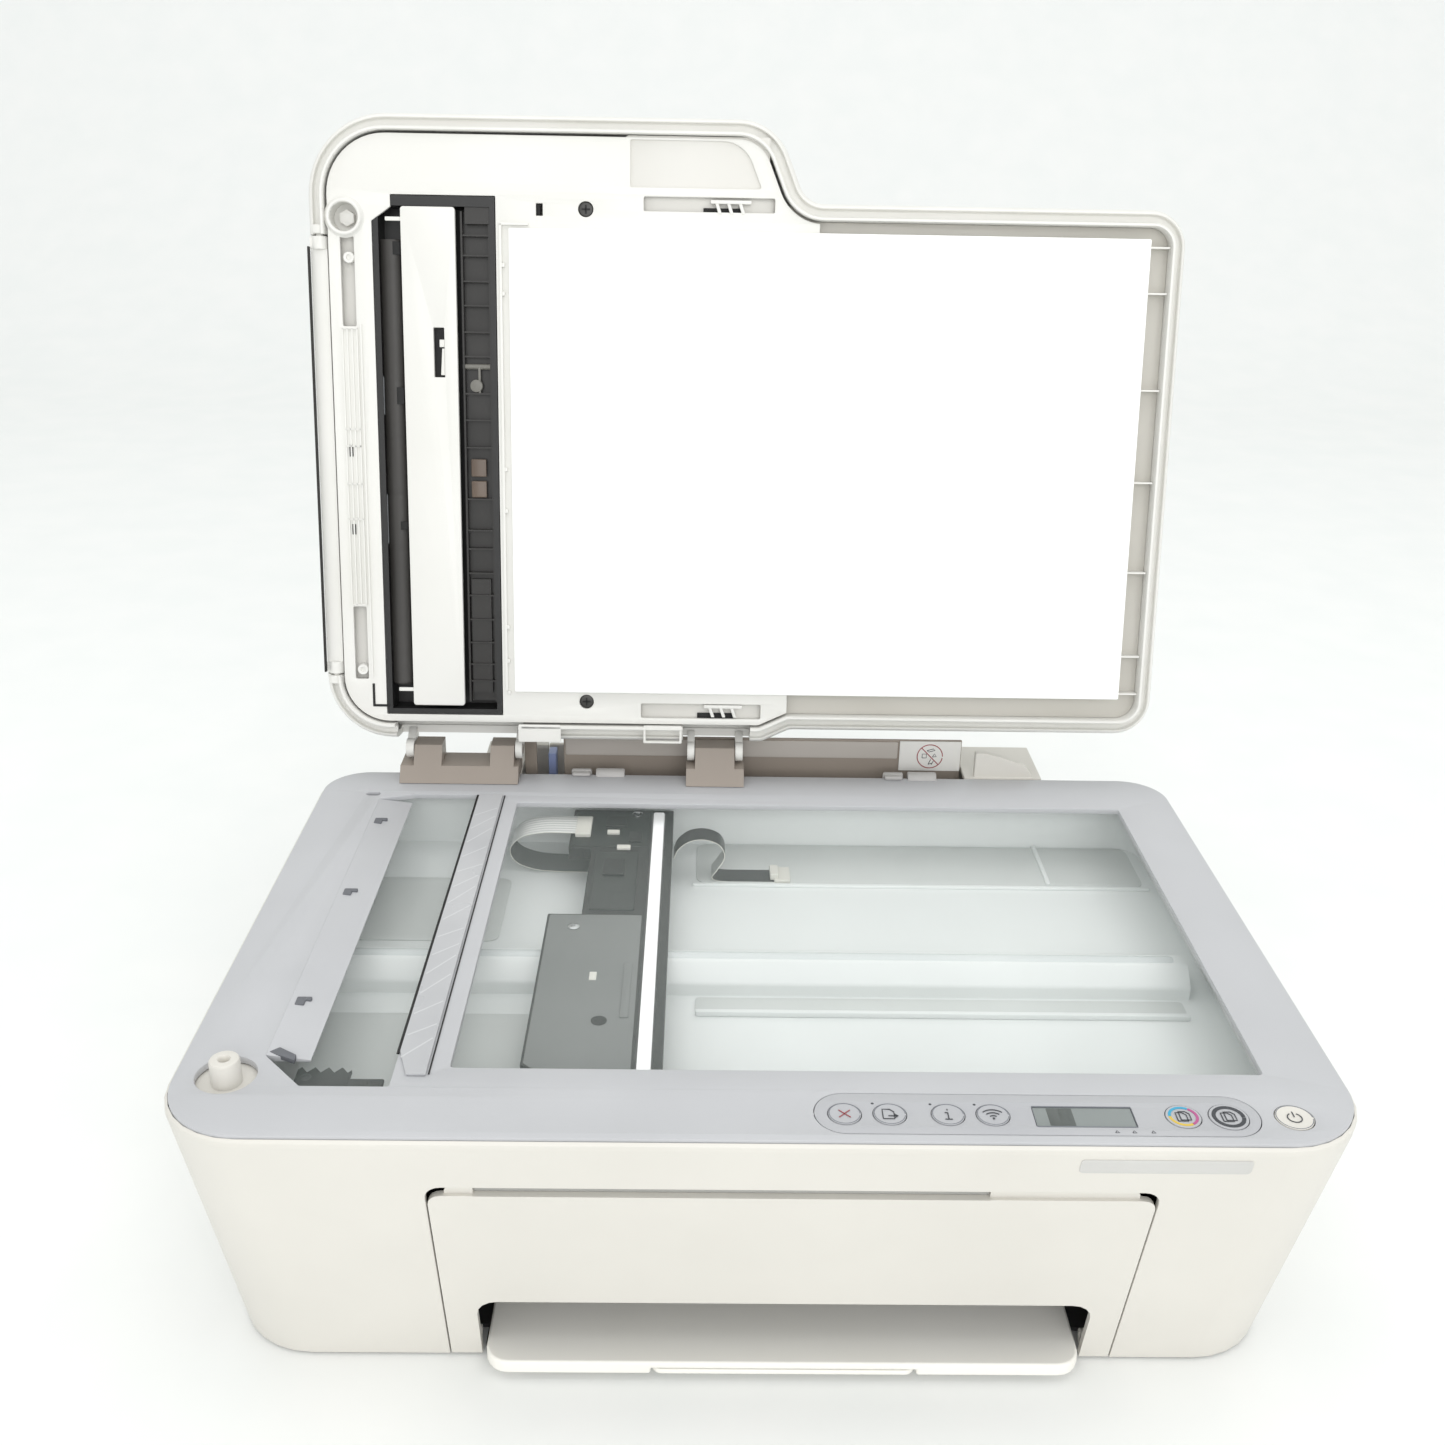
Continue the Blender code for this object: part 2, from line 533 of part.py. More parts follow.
door = fuse(slab("cartridge_door", [door_outline(DOOR_TOP, 0.0)], FRONT_PLANE, FRONT_PLANE + DOOR_THICK, "y"),
            slab("door_lip", [rectangle(DOOR_LEFT + 6, -90, DOOR_RIGHT - 6, DOOR_HEAD - 0.6, 3)],
                 FRONT_PLANE + 1.6, FRONT_PLANE + DOOR_THICK + 1.5, "y"))
cut(door, box("finger_slot", (-137.4, FRONT_PLANE - 5, DOOR_TOP - 0.2), (45.3, FRONT_PLANE + 3.4, DOOR_HEAD + 3)))
move_points(door, front_lean)
DOOR_AXIS_Y = front_lean(0, FRONT_PLANE, DOOR_AXIS_Z)[1] + 5.0
lugs = []
for x0, x1 in ((DOOR_LEFT + 0.5, CUT_LEFT - 0.5), (CUT_RIGHT + 0.5, DOOR_RIGHT - 0.5)):
    lugs.append(rod("door_lug", x0, x1, 3.6, "x", (DOOR_AXIS_Y, DOOR_AXIS_Z), 16))
fuse(door, *lugs)
cut(door, rod("door_bore", DOOR_LEFT - 5, DOOR_RIGHT + 5, 2.0, "x", (DOOR_AXIS_Y, DOOR_AXIS_Z), 16))
door_axis = pivot("door", 0.0, DOOR_AXIS_Y, DOOR_AXIS_Z)
hang(door_axis, WHITE, door)
pan_extras = []
for near, far in ((DOOR_LEFT + 1, DOOR_LEFT - 8.5), (DOOR_RIGHT - 1, DOOR_RIGHT + 8.5)):
    outer = (min(far, far + 4), max(far, far + 4)) if far < near else (far - 4, far)
    pan_extras.append(rod("door_pin", min(near, far), max(near, far), 1.7, "x", (DOOR_AXIS_Y, DOOR_AXIS_Z), 12))
    pan_extras.append(box("pin_ear", (outer[0], DOOR_AXIS_Y - 1, PAN_LOW + 1), (outer[1], DOOR_AXIS_Y + 8, DOOR_AXIS_Z + 4)))
cut(pan, *[box("leg_room", (x0 - 1, DOOR_AXIS_Y - 20, PAN_LOW - 1), (x1 + 1, DOOR_AXIS_Y + 10, PAN_HIGH + 1))
           for x0, x1 in ((DOOR_LEFT, CUT_LEFT), (CUT_RIGHT, DOOR_RIGHT))])
TRAY_LOW = TRAY_TOP - 6.0
tray = slab("output_tray", [arc_corners([
    (TRAY_LEFT, TRAY_FRONT, 9), (TRAY_RIGHT, TRAY_FRONT, 9), (TRAY_RIGHT, TRAY_BACK, 0),
    (TRAY_LEFT, TRAY_BACK, 0)])], TRAY_LOW, TRAY_TOP)
EXTENDER_LEFT, EXTENDER_RIGHT = -75.0, 26.5
EXTENDER_THICK = 2.2
cut(tray, box("extender_bay", (EXTENDER_LEFT - GAP, TRAY_FRONT - 5, TRAY_LOW - 1),
              (EXTENDER_RIGHT + GAP, TRAY_BACK - 8, TRAY_LOW + EXTENDER_THICK + 0.4)))
tray_axis = pivot("tray", (TRAY_LEFT + TRAY_RIGHT) / 2, TRAY_FRONT, TRAY_TOP)
hang(tray_axis, GREY, tray)
extender = slab("tray_extender", [arc_corners([
    (EXTENDER_LEFT, TRAY_FRONT + 0.3, 4), (EXTENDER_RIGHT, TRAY_FRONT + 0.3, 4),
    (EXTENDER_RIGHT, TRAY_BACK - 9, 0), (EXTENDER_LEFT, TRAY_BACK - 9, 0)])],
    TRAY_LOW, TRAY_LOW + EXTENDER_THICK)
hang(pivot("extender", (EXTENDER_LEFT + EXTENDER_RIGHT) / 2, TRAY_FRONT, TRAY_LOW, tray_axis), GREY, extender)

# ---- print engine ------------------------------------------------------------------------------------
SIDE_PLATE = 1.5
chassis = box("chassis", (ENGINE_LEFT, 40.0, -56.0), (ENGINE_RIGHT, 41.5, -38.0))
plates = []
for x0 in (ENGINE_LEFT, ENGINE_RIGHT - SIDE_PLATE):
    plates.append(slab("side_plate", [
        rectangle(-70.0, PAN_HIGH + GAP, 70.0, -38.0, 3, 2),
        circle(FEED_Y, FEED_Z, 3.5, 16), circle(OUT_Y, OUT_Z, 2.8, 16)], x0, x0 + SIDE_PLATE, "x"))
fuse(chassis, *plates, rod("carriage_rod", ENGINE_LEFT - 3, ENGINE_RIGHT + 3, ROD_R, "x", (ROD_Y, ROD_Z), 20))
hang(printer, "steel", chassis)
car_axis = pivot("print_carriage", (CAR_LEFT + CAR_RIGHT) / 2, ROD_Y, ROD_Z)
car = box("print_carriage", (CAR_LEFT, CAR_FRONT, CAR_BOTTOM), (CAR_RIGHT, CAR_BACK, CAR_TOP))
INK_WALL = 2.0
BAY_BACK = ROD_Y - ROD_R - 4
bay_middle = (CAR_LEFT + CAR_RIGHT) / 2
bays = [(CAR_LEFT + INK_WALL, bay_middle - INK_WALL / 2), (bay_middle + INK_WALL / 2, CAR_RIGHT - INK_WALL)]
cut(car, rod("rod_bore", CAR_LEFT - 5, CAR_RIGHT + 5, ROD_R + 0.4, "x", (ROD_Y, ROD_Z), 20),
    *[box("ink_bay", (x0, CAR_FRONT - 1, CAR_BOTTOM + 2), (x1, BAY_BACK, CAR_TOP + 1)) for x0, x1 in bays])
hang(car_axis, BLACK, car)
for name, (x0, x1) in zip(("cartridge_colour", "cartridge_black"), bays):
    ink = box(name, (x0 + GAP, CAR_FRONT + 2, CAR_BOTTOM + 2.3), (x1 - GAP, BAY_BACK - GAP, CAR_TOP - 3))
    hang(car_axis, BLACK, ink)

BELT_Z = -62.0
MOTOR_X, IDLER_X = 148.0, -214.0


def belt_loop(radius):
    """Stadium round the two pulleys."""
    half = [(MOTOR_X + radius * math.cos(a), BELT_Z + radius * math.sin(a))
            for a in [math.pi * (k / 8 - 0.5) for k in range(9)]]
    other = [(IDLER_X - (x - MOTOR_X), 2 * BELT_Z - z) for x, z in half]
    return half + other


belt = slab("carriage_belt", [belt_loop(BELT_R + 1.2), belt_loop(BELT_R + 0.2)], 28.0, 33.0, "y")
hang(printer, "rubber", belt)
for name, x in (("motor_pulley", MOTOR_X), ("idler_pulley", IDLER_X)):
    pulley = rod(name, 27.5, 33.5, BELT_R, "y", (x, BELT_Z), 20)
    hang(pivot(name, x, 30.0, BELT_Z), DARK, pulley)
motor = rod("carriage_motor", 42.5, 78.0, 12.0, "y", (MOTOR_X - 6, BELT_Z), 24)
hang(printer, "steel", motor)

for name, y, z, radius, core, roll in (("feed_roller", FEED_Y, FEED_Z, FEED_R, 3.0, (-140, 90)),
                                       ("output_roller", OUT_Y, OUT_Z, OUT_R, 2.5, (-130, 80))):
    shaft = rod(name, ENGINE_LEFT - 6, ENGINE_RIGHT + 6, core, "x", (y, z), 16)
    fuse(shaft, rod("roll", roll[0], roll[1], radius, "x", (y, z), 20))
    hang(pivot(name, 0.0, y, z), "rubber", shaft)
pick = rod("pick_roller", -118.0, 45.0, 4.0, "x", (PICK_Y, PICK_Z), 16)
fuse(pick, rod("pick_tyre", -60.0, -14.0, PICK_R, "x", (PICK_Y, PICK_Z), 24))
hang(pivot("pick_roller", 0.0, PICK_Y, PICK_Z), "rubber", pick)
for x in (-150.0, 98.0):
    pan_extras.append(box("platen_post", (x, -40.0, PAN_LOW + 1), (x + 2, 40.0, -110.0)))
platen = slab("print_platen", [[(-48.0, -111.0), (44.0, -109.0), (44.0, -112.0), (-48.0, -114.0)]], -151.0, 101.0, "x")
fuse(pan, *feet, *pan_extras, platen)
hang(printer, DARK, pan)
main_board = box("main_board", (-240.0 + 8, 76.0, -60.0), (-160.0, 120.0, -58.4))
hang(printer, "circuit_board", main_board)


def casing_back(z):
    """Y of the casing's back wall at a height."""
    return max(y for x, y, height in casing_ring(z, 0.0))


POWER_BACK = casing_back(POWER_Z0) - 0.5
power_inlet = cut(
    box("power_inlet", (POWER_X0, POWER_BACK - 22, POWER_Z0), (POWER_X1, POWER_BACK, POWER_Z1)),
    slab("inlet_hollow", [rectangle(POWER_X0 + 3, POWER_Z0 + 4.5, POWER_X1 - 3, POWER_Z1 - 4.5, 4.4, 5)],
         POWER_BACK - 16, POWER_BACK + 5, "y"))
hang(printer, BLACK, power_inlet)
usb_socket = cut(
    box("usb_socket", (USB_X0, POWER_BACK - 18, USB_Z0), (USB_X1, POWER_BACK, USB_Z1)),
    box("usb_hollow", (USB_X0 + 2, POWER_BACK - 12, USB_Z0 + 2), (USB_X1 - 2, POWER_BACK + 5, USB_Z1 - 2)))
hang(printer, "steel", usb_socket)

# ---- rear paper feed -----------------------------------------------------------------------------------
REAR_FACE = BEZEL_BACK + REAR_DEPTH
REAR_FRONT = BEZEL_BACK + RIM + GAP
SUPPORT_THICK = 3.0
rear = slab("rear_housing", [[
    (REAR_FRONT, -3.0), (REAR_FRONT, -0.5), (REAR_FACE, -0.5), (REAR_FACE, CASING_FOOT),
    (REAR_FRONT - BACK_TAPER * (BODY_HEIGHT - FLOOR_GAP - RIM) / (BODY_HEIGHT - RIM), CASING_FOOT)]],
    REAR_LEFT, REAR_RIGHT, "x")
fuse(rear, slab("rear_wing", [[(83, -2), (83, 13), (88, 13), (97, 10.5), (104, 8), (109, 6.5), (113, 0.5), (113, -2)]],
                REAR_FRONT + 1, REAR_FRONT + 5, "y"))
SUPPORT_LEFT, SUPPORT_RIGHT = SLOT_LEFT + 11, SLOT_RIGHT - 12
SUPPORT_LOW = -104.0
cut(rear, box("rear_hollow", (REAR_LEFT + WALL, 110.0, CASING_FOOT + WALL), (REAR_RIGHT - WALL, REAR_FACE - WALL, -3.0)),
    box("rear_slot", (SLOT_LEFT, REAR_FRONT - 5, -10), (SLOT_RIGHT, REAR_FACE - WALL - 2, 5)),
    box("support_gap", (SUPPORT_LEFT - GAP, REAR_FACE - WALL - 4, SUPPORT_LOW - 4), (SUPPORT_RIGHT + GAP, REAR_FACE + 5, 5)))
for x in (-124.0, 46.5):
    bearing = slab("pick_bearing", [rectangle(PICK_Y - 8, CASING_FOOT + 1, PICK_Y + 8, PICK_Z + 8, 3, 3),
                                    circle(PICK_Y, PICK_Z, 4.4, 16)], x - 1.5, x + 3.5, "x")
    fuse(rear, bearing)
hang(printer, WHITE, rear)
SUPPORT_Y = REAR_FACE - SUPPORT_THICK
support = box("paper_support", (SUPPORT_LEFT, SUPPORT_Y, SUPPORT_LOW), (SUPPORT_RIGHT, REAR_FACE, -0.8))
hang(pivot("paper_support", 0.0, REAR_FACE - 1, SUPPORT_LOW), WHITE, support)

SHIELD_LOW = -18.0
SHIELD_Y0 = 156.0
NOTCH = (-144.0, -130.0, -8.0)
shield = slab("input_shield", [[
    (SLOT_LEFT + 0.5, SHIELD_LOW), (SLOT_RIGHT - 0.5, SHIELD_LOW), (SLOT_RIGHT - 0.5, SHIELD_TOP), (NOTCH[1], SHIELD_TOP),
    (NOTCH[1], NOTCH[2]), (NOTCH[0], NOTCH[2]), (NOTCH[0], SHIELD_TOP), (SLOT_LEFT + 0.5, SHIELD_TOP)]],
    SHIELD_Y0, SHIELD_Y0 + SHIELD_THICK, "y")
hang(pivot("input_shield", 0.0, SHIELD_Y0 + 1, SHIELD_LOW), TAUPE, shield)
GUIDE_Y0, GUIDE_Y1 = 164.5, 173.5
for side, x0, x1 in (("left", -139.0, -135.0), ("right", 62.0, 66.0)):
    guide = box(f"paper_guide_{side}", (x0, GUIDE_Y0, -60.0), (x1, GUIDE_Y1, 1.0))
    hang(pivot(f"paper_guide_{side}", x0, GUIDE_Y0, -60.0), "blue_guide" if side == "left" else WHITE, guide)

# ---- hinge brackets ------------------------------------------------------------------------------------
BLOCK_TOP = 7.6
BRACKET_TOP = 16.5


def bracket(name, low, high, ears, stub):
    """Foot block with raised ears; a stub pin sticks out of the outer ears for the lid's lugs."""
    ramp = [(128.0, GAP), (150.0, GAP), (150.0, BLOCK_TOP), (133.6, BLOCK_TOP)]
    made = slab(name, [ramp], low, high, "x")
    ear = [(129.0, 1.0), (149.0, 1.0), (150.0, BRACKET_TOP), (139.5, BRACKET_TOP)]
    raised = [slab("ear", [ear], a, b, "x") for a, b in ears]
    stubs = [rod("stub", a, b, PIN_R, "x", (HINGE_Y, HINGE_Z), 16)
             for a, b in ((stub[0], ears[0][0] + 2), (ears[-1][1] - 2, stub[1]))]
    fuse(made, *raised, *stubs)
    hang(printer, TAUPE, made)


bracket("hinge_bracket_left", -210.7, -151.0, ((-204.0, -190.0), (-165.5, -153.5)), (-208.6, -149.4))
bracket("hinge_bracket_right", -66.0, -36.7, ((-61.5, -41.5),), (-65.8, -37.0))

# ---- lid, drawn shut -------------------------------------------------------------------------------------
lid_axis = pivot("lid", 0.0, HINGE_Y, HINGE_Z)


def lid_outline(inset, steps=4):
    """Plan of the lid: tall at the left where the feeder sits, lower at the right."""
    return arc_corners([
        (LID_LEFT + inset, lid_y(LID_FRONT_TALL) + inset, 38 - inset),
        (-27 - 0.7 * inset, lid_y(LID_FRONT_TALL) + inset, 26 - inset),
        (-12 - 0.7 * inset, lid_y(LID_FRONT_LOW) + inset, 12 + inset),
        (LID_RIGHT - inset, lid_y(LID_FRONT_LOW) + inset, 18 - inset),
        (LID_RIGHT - inset, lid_y(LID_BACK_LOW) - inset, 18 - inset),
        (-14 - 0.2 * inset, lid_y(LID_BACK_LOW) - inset, 6),
        (-28 - 0.2 * inset, lid_y(LID_BACK_TALL) - inset, 6),
        (LID_LEFT + inset, lid_y(LID_BACK_TALL) - inset, 32 - inset)], steps)


def lid_ring(z, inset):
    """One ring of the lid's side wall."""
    return [(x, y, z) for x, y in lid_outline(inset)]


SIDE_V0, SIDE_V1 = COVER_V0 - 0.6, COVER_V1 + 0.6
FRAME_INSET = 10.2
lid_cover = loft("lid_cover", [
    lid_ring(LID_RIM, 7.0), lid_ring(4.0, 2.6), lid_ring(9.0, 0.4), lid_ring(13.0, 0.0), lid_ring(22.0, 0.0),
    lid_ring(LID_TOP, 3.0), lid_ring(22.6, 4.2), lid_ring(12.0, 2.4), lid_ring(5.6, 9.4), lid_ring(LID_RIM, 9.4)])
deck = slab("lid_deck", [lid_outline(3.5), rectangle(-236.0, lid_y(222), -100.0, lid_y(3), 4, 3)],
            22.5, LID_TOP - 0.1)
fuse(lid_cover, deck)
HINGE_POCKETS = [box("hinge_pocket", (-212.0, 126.6, -1.0), (-148.6, 140.0, 21.5)),
                 box("hinge_pocket", (-68.0, 126.6, -1.0), (-34.0, 140.0, 21.5))]
cut(lid_cover, *HINGE_POCKETS,
    box("cover_gap", (-250.0, lid_y(SIDE_V1), -1.0), (-236.9, lid_y(SIDE_V0), 30.0)))
lug_outline = [(135.0, 24.6), (139.0, 24.6), (147.0, 16.0)] + [
    (HINGE_Y + 4.8 * math.cos(a), HINGE_Z + 4.8 * math.sin(a))
    for a in [math.pi * (0.1 - 1.2 * k / 10) for k in range(11)]] + [(136.8, 16.0), (133.5, 20.0)]
lugs = [slab("lid_lug", [lug_outline, circle(HINGE_Y, HINGE_Z, PIN_R + 0.3, 16)[::-1]], x0, x1, "x")
        for x0, x1 in ((-208.4, -204.4), (-153.1, -149.6), (-65.6, -61.9), (-41.1, -37.3))]
fuse(lid_cover, *lugs)
knuckles = []
for v0, v1, p0, p1 in ((3.0, SIDE_V0 - 0.3, 3.0, SIDE_V0 + 5), (SIDE_V1 + 0.3, 222.0, SIDE_V1 - 5, 222.0)):
    knuckles.append(slab("knuckle", [circle(COVER_AXIS_X, COVER_AXIS_Z, 4.0, 16)], lid_y(v1), lid_y(v0), "y"))
    knuckles.append(slab("knuckle_pin", [circle(COVER_AXIS_X, COVER_AXIS_Z, 1.8, 12)], lid_y(p1), lid_y(p0), "y"))
fuse(lid_cover, *knuckles)
hang(lid_axis, WHITE, lid_cover)


def path_outline(inset):
    """Opening under the feeder, drawn in by an inset."""
    left, right = -216.0 + inset, -158.0 - inset
    front, back = lid_y(236) + inset, lid_y(-12) - inset
    return [(left, back), (right, back), (right, front), (-207.0 + inset / 2, front), (left, front + 9)]


CUP_X, CUP_Y, CUP_R = POST_X, POST_Y - 0.5, 8.2
FRAME_THICK = 2.4
frame = slab("lid_frame", [
    lid_outline(FRAME_INSET), path_outline(0.0),
    rectangle(-88.7, lid_y(237), -27.2, lid_y(230.4), 1, 1), rectangle(-231, lid_y(217), -224.5, lid_y(176), 1, 1),
    rectangle(-231, lid_y(42), -224.5, lid_y(5.7), 1, 1), circle(-115.8, lid_y(230.8), 3.6, 12),
    circle(-116.2, lid_y(-4.5), 3.6, 12)], LID_FLOOR, LID_FLOOR + FRAME_THICK)
fuse(frame, rod("lid_cup", LID_RIM, 14.0, CUP_R, "z", (CUP_X, CUP_Y), 24))
cut(frame, rod("cup_hollow", -2.0, 12.0, CUP_R - 1.6, "z", (CUP_X, CUP_Y), 24))
hang(lid_axis, WHITE, frame)
backing = box("scan_backing", (-151.8, lid_y(221.7), 0.9), (150.3, lid_y(0.5), LID_FLOOR - GAP))
hang(lid_axis, "white_film", backing)

PATH_LOW, PATH_HIGH = LID_FLOOR + 0.3, 22.0
path_frame = slab("feeder_path", [path_outline(0.4)], PATH_LOW, PATH_HIGH)
cut(path_frame, box("path_hollow", (-213.0, lid_y(231), 0.0), (-161.0, lid_y(-9), PATH_HIGH - 3.0)))
hang(lid_axis, BLACK, path_frame)
bar = slab("feeder_pressure_bar", [rectangle(-202.2, lid_y(230.6), -176.8, lid_y(-6.9), 1, 1),
                                   rectangle(-188.0, lid_y(176), -182.9, lid_y(153), 0.5, 1)], 1.4, PATH_LOW + 1.0)
hang(lid_axis, WHITE, bar)
ROLL_X, ROLL_Z = -189.0, 13.0
feeder_roller = fuse(
    slab("feeder_roller", [circle(ROLL_X, ROLL_Z, 2.5, 16)], lid_y(230), lid_y(-8), "y"),
    *[slab("tyre", [circle(ROLL_X, ROLL_Z, 5.0, 20)], lid_y(v + 14), lid_y(v), "y") for v in (20, 95, 170)])
hang(pivot("feeder_roller", ROLL_X, 0.0, ROLL_Z, lid_axis), "rubber", feeder_roller)

HUMP_LEFT, HUMP_RIGHT = LID_LEFT + 2.0, FEEDER_RIGHT


def hump_ring(z, inset):
    """The feeder housing's outline, drawn in by an inset."""
    x0, x1 = HUMP_LEFT + inset, HUMP_RIGHT - inset
    y0, y1 = lid_y(LID_FRONT_TALL) + 3.2 + inset, lid_y(LID_BACK_TALL) - 3.2 - inset
    return [(x, y, z) for x, y in arc_corners([(x0, y0, 34 - inset), (x1, y0, 22 - inset), (x1, y1, 8),
                                               (x0, y1, 28 - inset)], 6)]


HUMP_LOW = LID_TOP + GAP
housing = loft("feeder_housing", [
    hump_ring(HUMP_LOW, 1.2), hump_ring(FEEDER_DECK - 4, 2.5), hump_ring(FEEDER_DECK, 6.0),
    hump_ring(FEEDER_DECK - 2.6, 7.0), hump_ring(FEEDER_DECK - 6, 5.2), hump_ring(HUMP_LOW, 3.6)])
fuse(housing, slab("feeder_deck", [[p[:2] for p in hump_ring(0, 6.4)],
                                   rectangle(-236.5, lid_y(SIDE_V1), COVER_RIGHT + 1, lid_y(SIDE_V0), 1, 1)],
                   FEEDER_DECK - 2.4, FEEDER_DECK - 0.1))
cut(housing, box("cover_gap", (-250.0, lid_y(SIDE_V1), 10.0), (-234.0, lid_y(SIDE_V0), 60.0)),
    box("paper_out", (HUMP_RIGHT - 20, lid_y(221), HUMP_LOW + 2), (HUMP_RIGHT + 5, lid_y(4), FEEDER_DECK - 5)))
hang(lid_axis, WHITE, housing)

cover_axis = pivot("feeder_cover", COVER_AXIS_X, 0.0, COVER_AXIS_Z, lid_axis)
COVER_TOP = FEEDER_TOP
cover_path = [(-245.0, 9.0), (-245.0, COVER_TOP - 22)] + [
    (-223.0 - 22 * math.cos(math.pi / 2 * k / 6), COVER_TOP - 22 + 20 * math.sin(math.pi / 2 * k / 6))
    for k in range(1, 7)] + [(COVER_RIGHT, COVER_TOP)]
cover = strip("feeder_cover", cover_path, lid_y(COVER_V1), lid_y(COVER_V0), 2.4)
cheek = [(-242.0, FEEDER_DECK + 0.6)] + cover_path[3:-1] + [
    (COVER_RIGHT - 0.5, COVER_TOP), (COVER_RIGHT - 0.5, FEEDER_DECK + 0.6)]
cheeks = [slab("cheek", [cheek], lid_y(v + 2.0), lid_y(v), "y") for v in (COVER_V0 + 0.4, COVER_V1 - 2.4)]
barrels = []
for v0, v1 in ((COVER_V0 + 0.2, COVER_V0 + 6), (COVER_V1 - 6, COVER_V1 - 0.2)):
    barrels.append(slab("barrel", [circle(COVER_AXIS_X, COVER_AXIS_Z, 3.8, 16)], lid_y(v1), lid_y(v0), "y"))
    barrels.append(box("barrel_web", (-245.7, lid_y(v1 - 0.3), 5.8), (-241.0, lid_y(v0 + 0.3), 10.4)))
fuse(cover, *cheeks, *barrels)
cut(cover, slab("barrel_bore", [circle(COVER_AXIS_X, COVER_AXIS_Z, 2.1, 12)], lid_y(COVER_V1 + 3), lid_y(COVER_V0 - 3), "y"))
hang(cover_axis, WHITE, cover)

FEED_SHAFT_X, FEED_SHAFT_Z = -140.0, 47.0
pick_shaft = fuse(
    slab("feeder_pick_roller", [circle(FEED_SHAFT_X, FEED_SHAFT_Z, 3.0, 16)], lid_y(213), lid_y(12), "y"),
    slab("tyre", [circle(FEED_SHAFT_X, FEED_SHAFT_Z, 10.0, 24)], lid_y(126), lid_y(98), "y"))
hang(pivot("feeder_pick_roller", FEED_SHAFT_X, 0.0, FEED_SHAFT_Z, lid_axis), "rubber", pick_shaft)
feeder_chute = slab("feeder_chute", [[(-212.0, 24.0), (-198.0, 24.0), (-155.0, 27.0), (-104.0, 44.0), (-104.0, 46.5),
                                      (-156.0, 29.5), (-199.0, 26.5), (-208.0, 30.0), (-214.0, 40.0), (-216.5, 40.0)]],
                    lid_y(218), lid_y(7), "y")
hang(lid_axis, BLACK, feeder_chute)

TRAY_V0, TRAY_V1 = 10.0, 215.0
in_path = [(-112.0, 51.6), (-60.0, 52.2), (-34.0, 53.4), (62.0, 63.0)]
in_tray = fuse(strip("feeder_input_tray", in_path, lid_y(TRAY_V1), lid_y(TRAY_V0), 2.4),
               *[strip("tray_rim", [(x, z + 1.6) for x, z in in_path], lid_y(v + 3), lid_y(v), 4.0)
                 for v in (TRAY_V0, TRAY_V1 - 3)])
hang(lid_axis, WHITE, in_tray)
for name, v in (("feeder_guide_rear", 16.0), ("feeder_guide_front", 205.0)):
    guide = slab(name, [[(-108.0, 53.6), (-62.0, 53.9), (-62.0, 62.0), (-66.0, 65.0), (-108.0, 65.0)]],
                 lid_y(v + 3), lid_y(v), "y")
    hang(pivot(name, -85.0, lid_y(v), 54.0, lid_axis), WHITE, guide)

lid_axis.rotation_euler.x = -math.radians(LID_OPEN)
bpy.context.view_layer.update()
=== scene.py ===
import json
import math

import bmesh
import bpy
import numpy as np
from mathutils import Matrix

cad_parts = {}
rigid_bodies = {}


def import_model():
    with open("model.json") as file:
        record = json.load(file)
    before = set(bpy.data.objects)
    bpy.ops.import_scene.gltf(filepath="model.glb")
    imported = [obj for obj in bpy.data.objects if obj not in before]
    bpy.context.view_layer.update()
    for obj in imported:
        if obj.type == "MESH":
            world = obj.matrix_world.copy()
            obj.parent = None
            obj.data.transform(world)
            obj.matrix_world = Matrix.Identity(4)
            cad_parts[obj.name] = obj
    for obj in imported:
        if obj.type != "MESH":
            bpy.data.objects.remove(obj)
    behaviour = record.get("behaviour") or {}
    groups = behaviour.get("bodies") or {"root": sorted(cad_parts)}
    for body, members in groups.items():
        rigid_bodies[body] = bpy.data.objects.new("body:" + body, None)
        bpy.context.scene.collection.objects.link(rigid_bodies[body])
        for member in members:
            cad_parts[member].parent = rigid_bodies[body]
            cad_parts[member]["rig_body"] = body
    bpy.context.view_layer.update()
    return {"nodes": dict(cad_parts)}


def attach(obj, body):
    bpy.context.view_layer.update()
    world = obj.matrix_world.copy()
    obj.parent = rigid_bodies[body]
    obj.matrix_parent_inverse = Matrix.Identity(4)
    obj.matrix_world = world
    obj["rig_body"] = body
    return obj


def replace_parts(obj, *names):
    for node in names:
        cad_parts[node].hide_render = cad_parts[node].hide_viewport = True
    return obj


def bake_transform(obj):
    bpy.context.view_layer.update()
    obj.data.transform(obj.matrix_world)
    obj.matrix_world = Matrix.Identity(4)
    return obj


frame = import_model()

# ---- casing --------------------------------------------------------------------------------------
# The body is one deep injection moulding in warm white ABS, open at the top for the scanner.
# Its walls carry a fine spark-eroded grain, and every edge has the small radius of its tool.


def linear(hex_colour):
    """sRGB hex to linear: c / 12.92 up to 0.04045, and ((c + 0.055) / 1.055) ** 2.4 above it."""
    c = np.array([int(hex_colour[k:k + 2], 16) for k in (1, 3, 5)]) / 255
    return (*np.where(c <= 0.04045, c / 12.92, ((c + 0.055) / 1.055) ** 2.4), 1.0)


def add_node(tree, kind, **settings):
    """One shader node: a setting is a property, a socket's value, or another node's output linked to it."""
    node = tree.nodes.new("ShaderNode" + kind)
    for name, value in settings.items():
        if name in node.bl_rna.properties:
            setattr(node, name, value)
            continue
        socket = node.inputs[name.replace("_", " ")]
        if isinstance(value, bpy.types.NodeSocket):
            tree.links.new(value, socket)
        else:
            socket.default_value = value
    return node


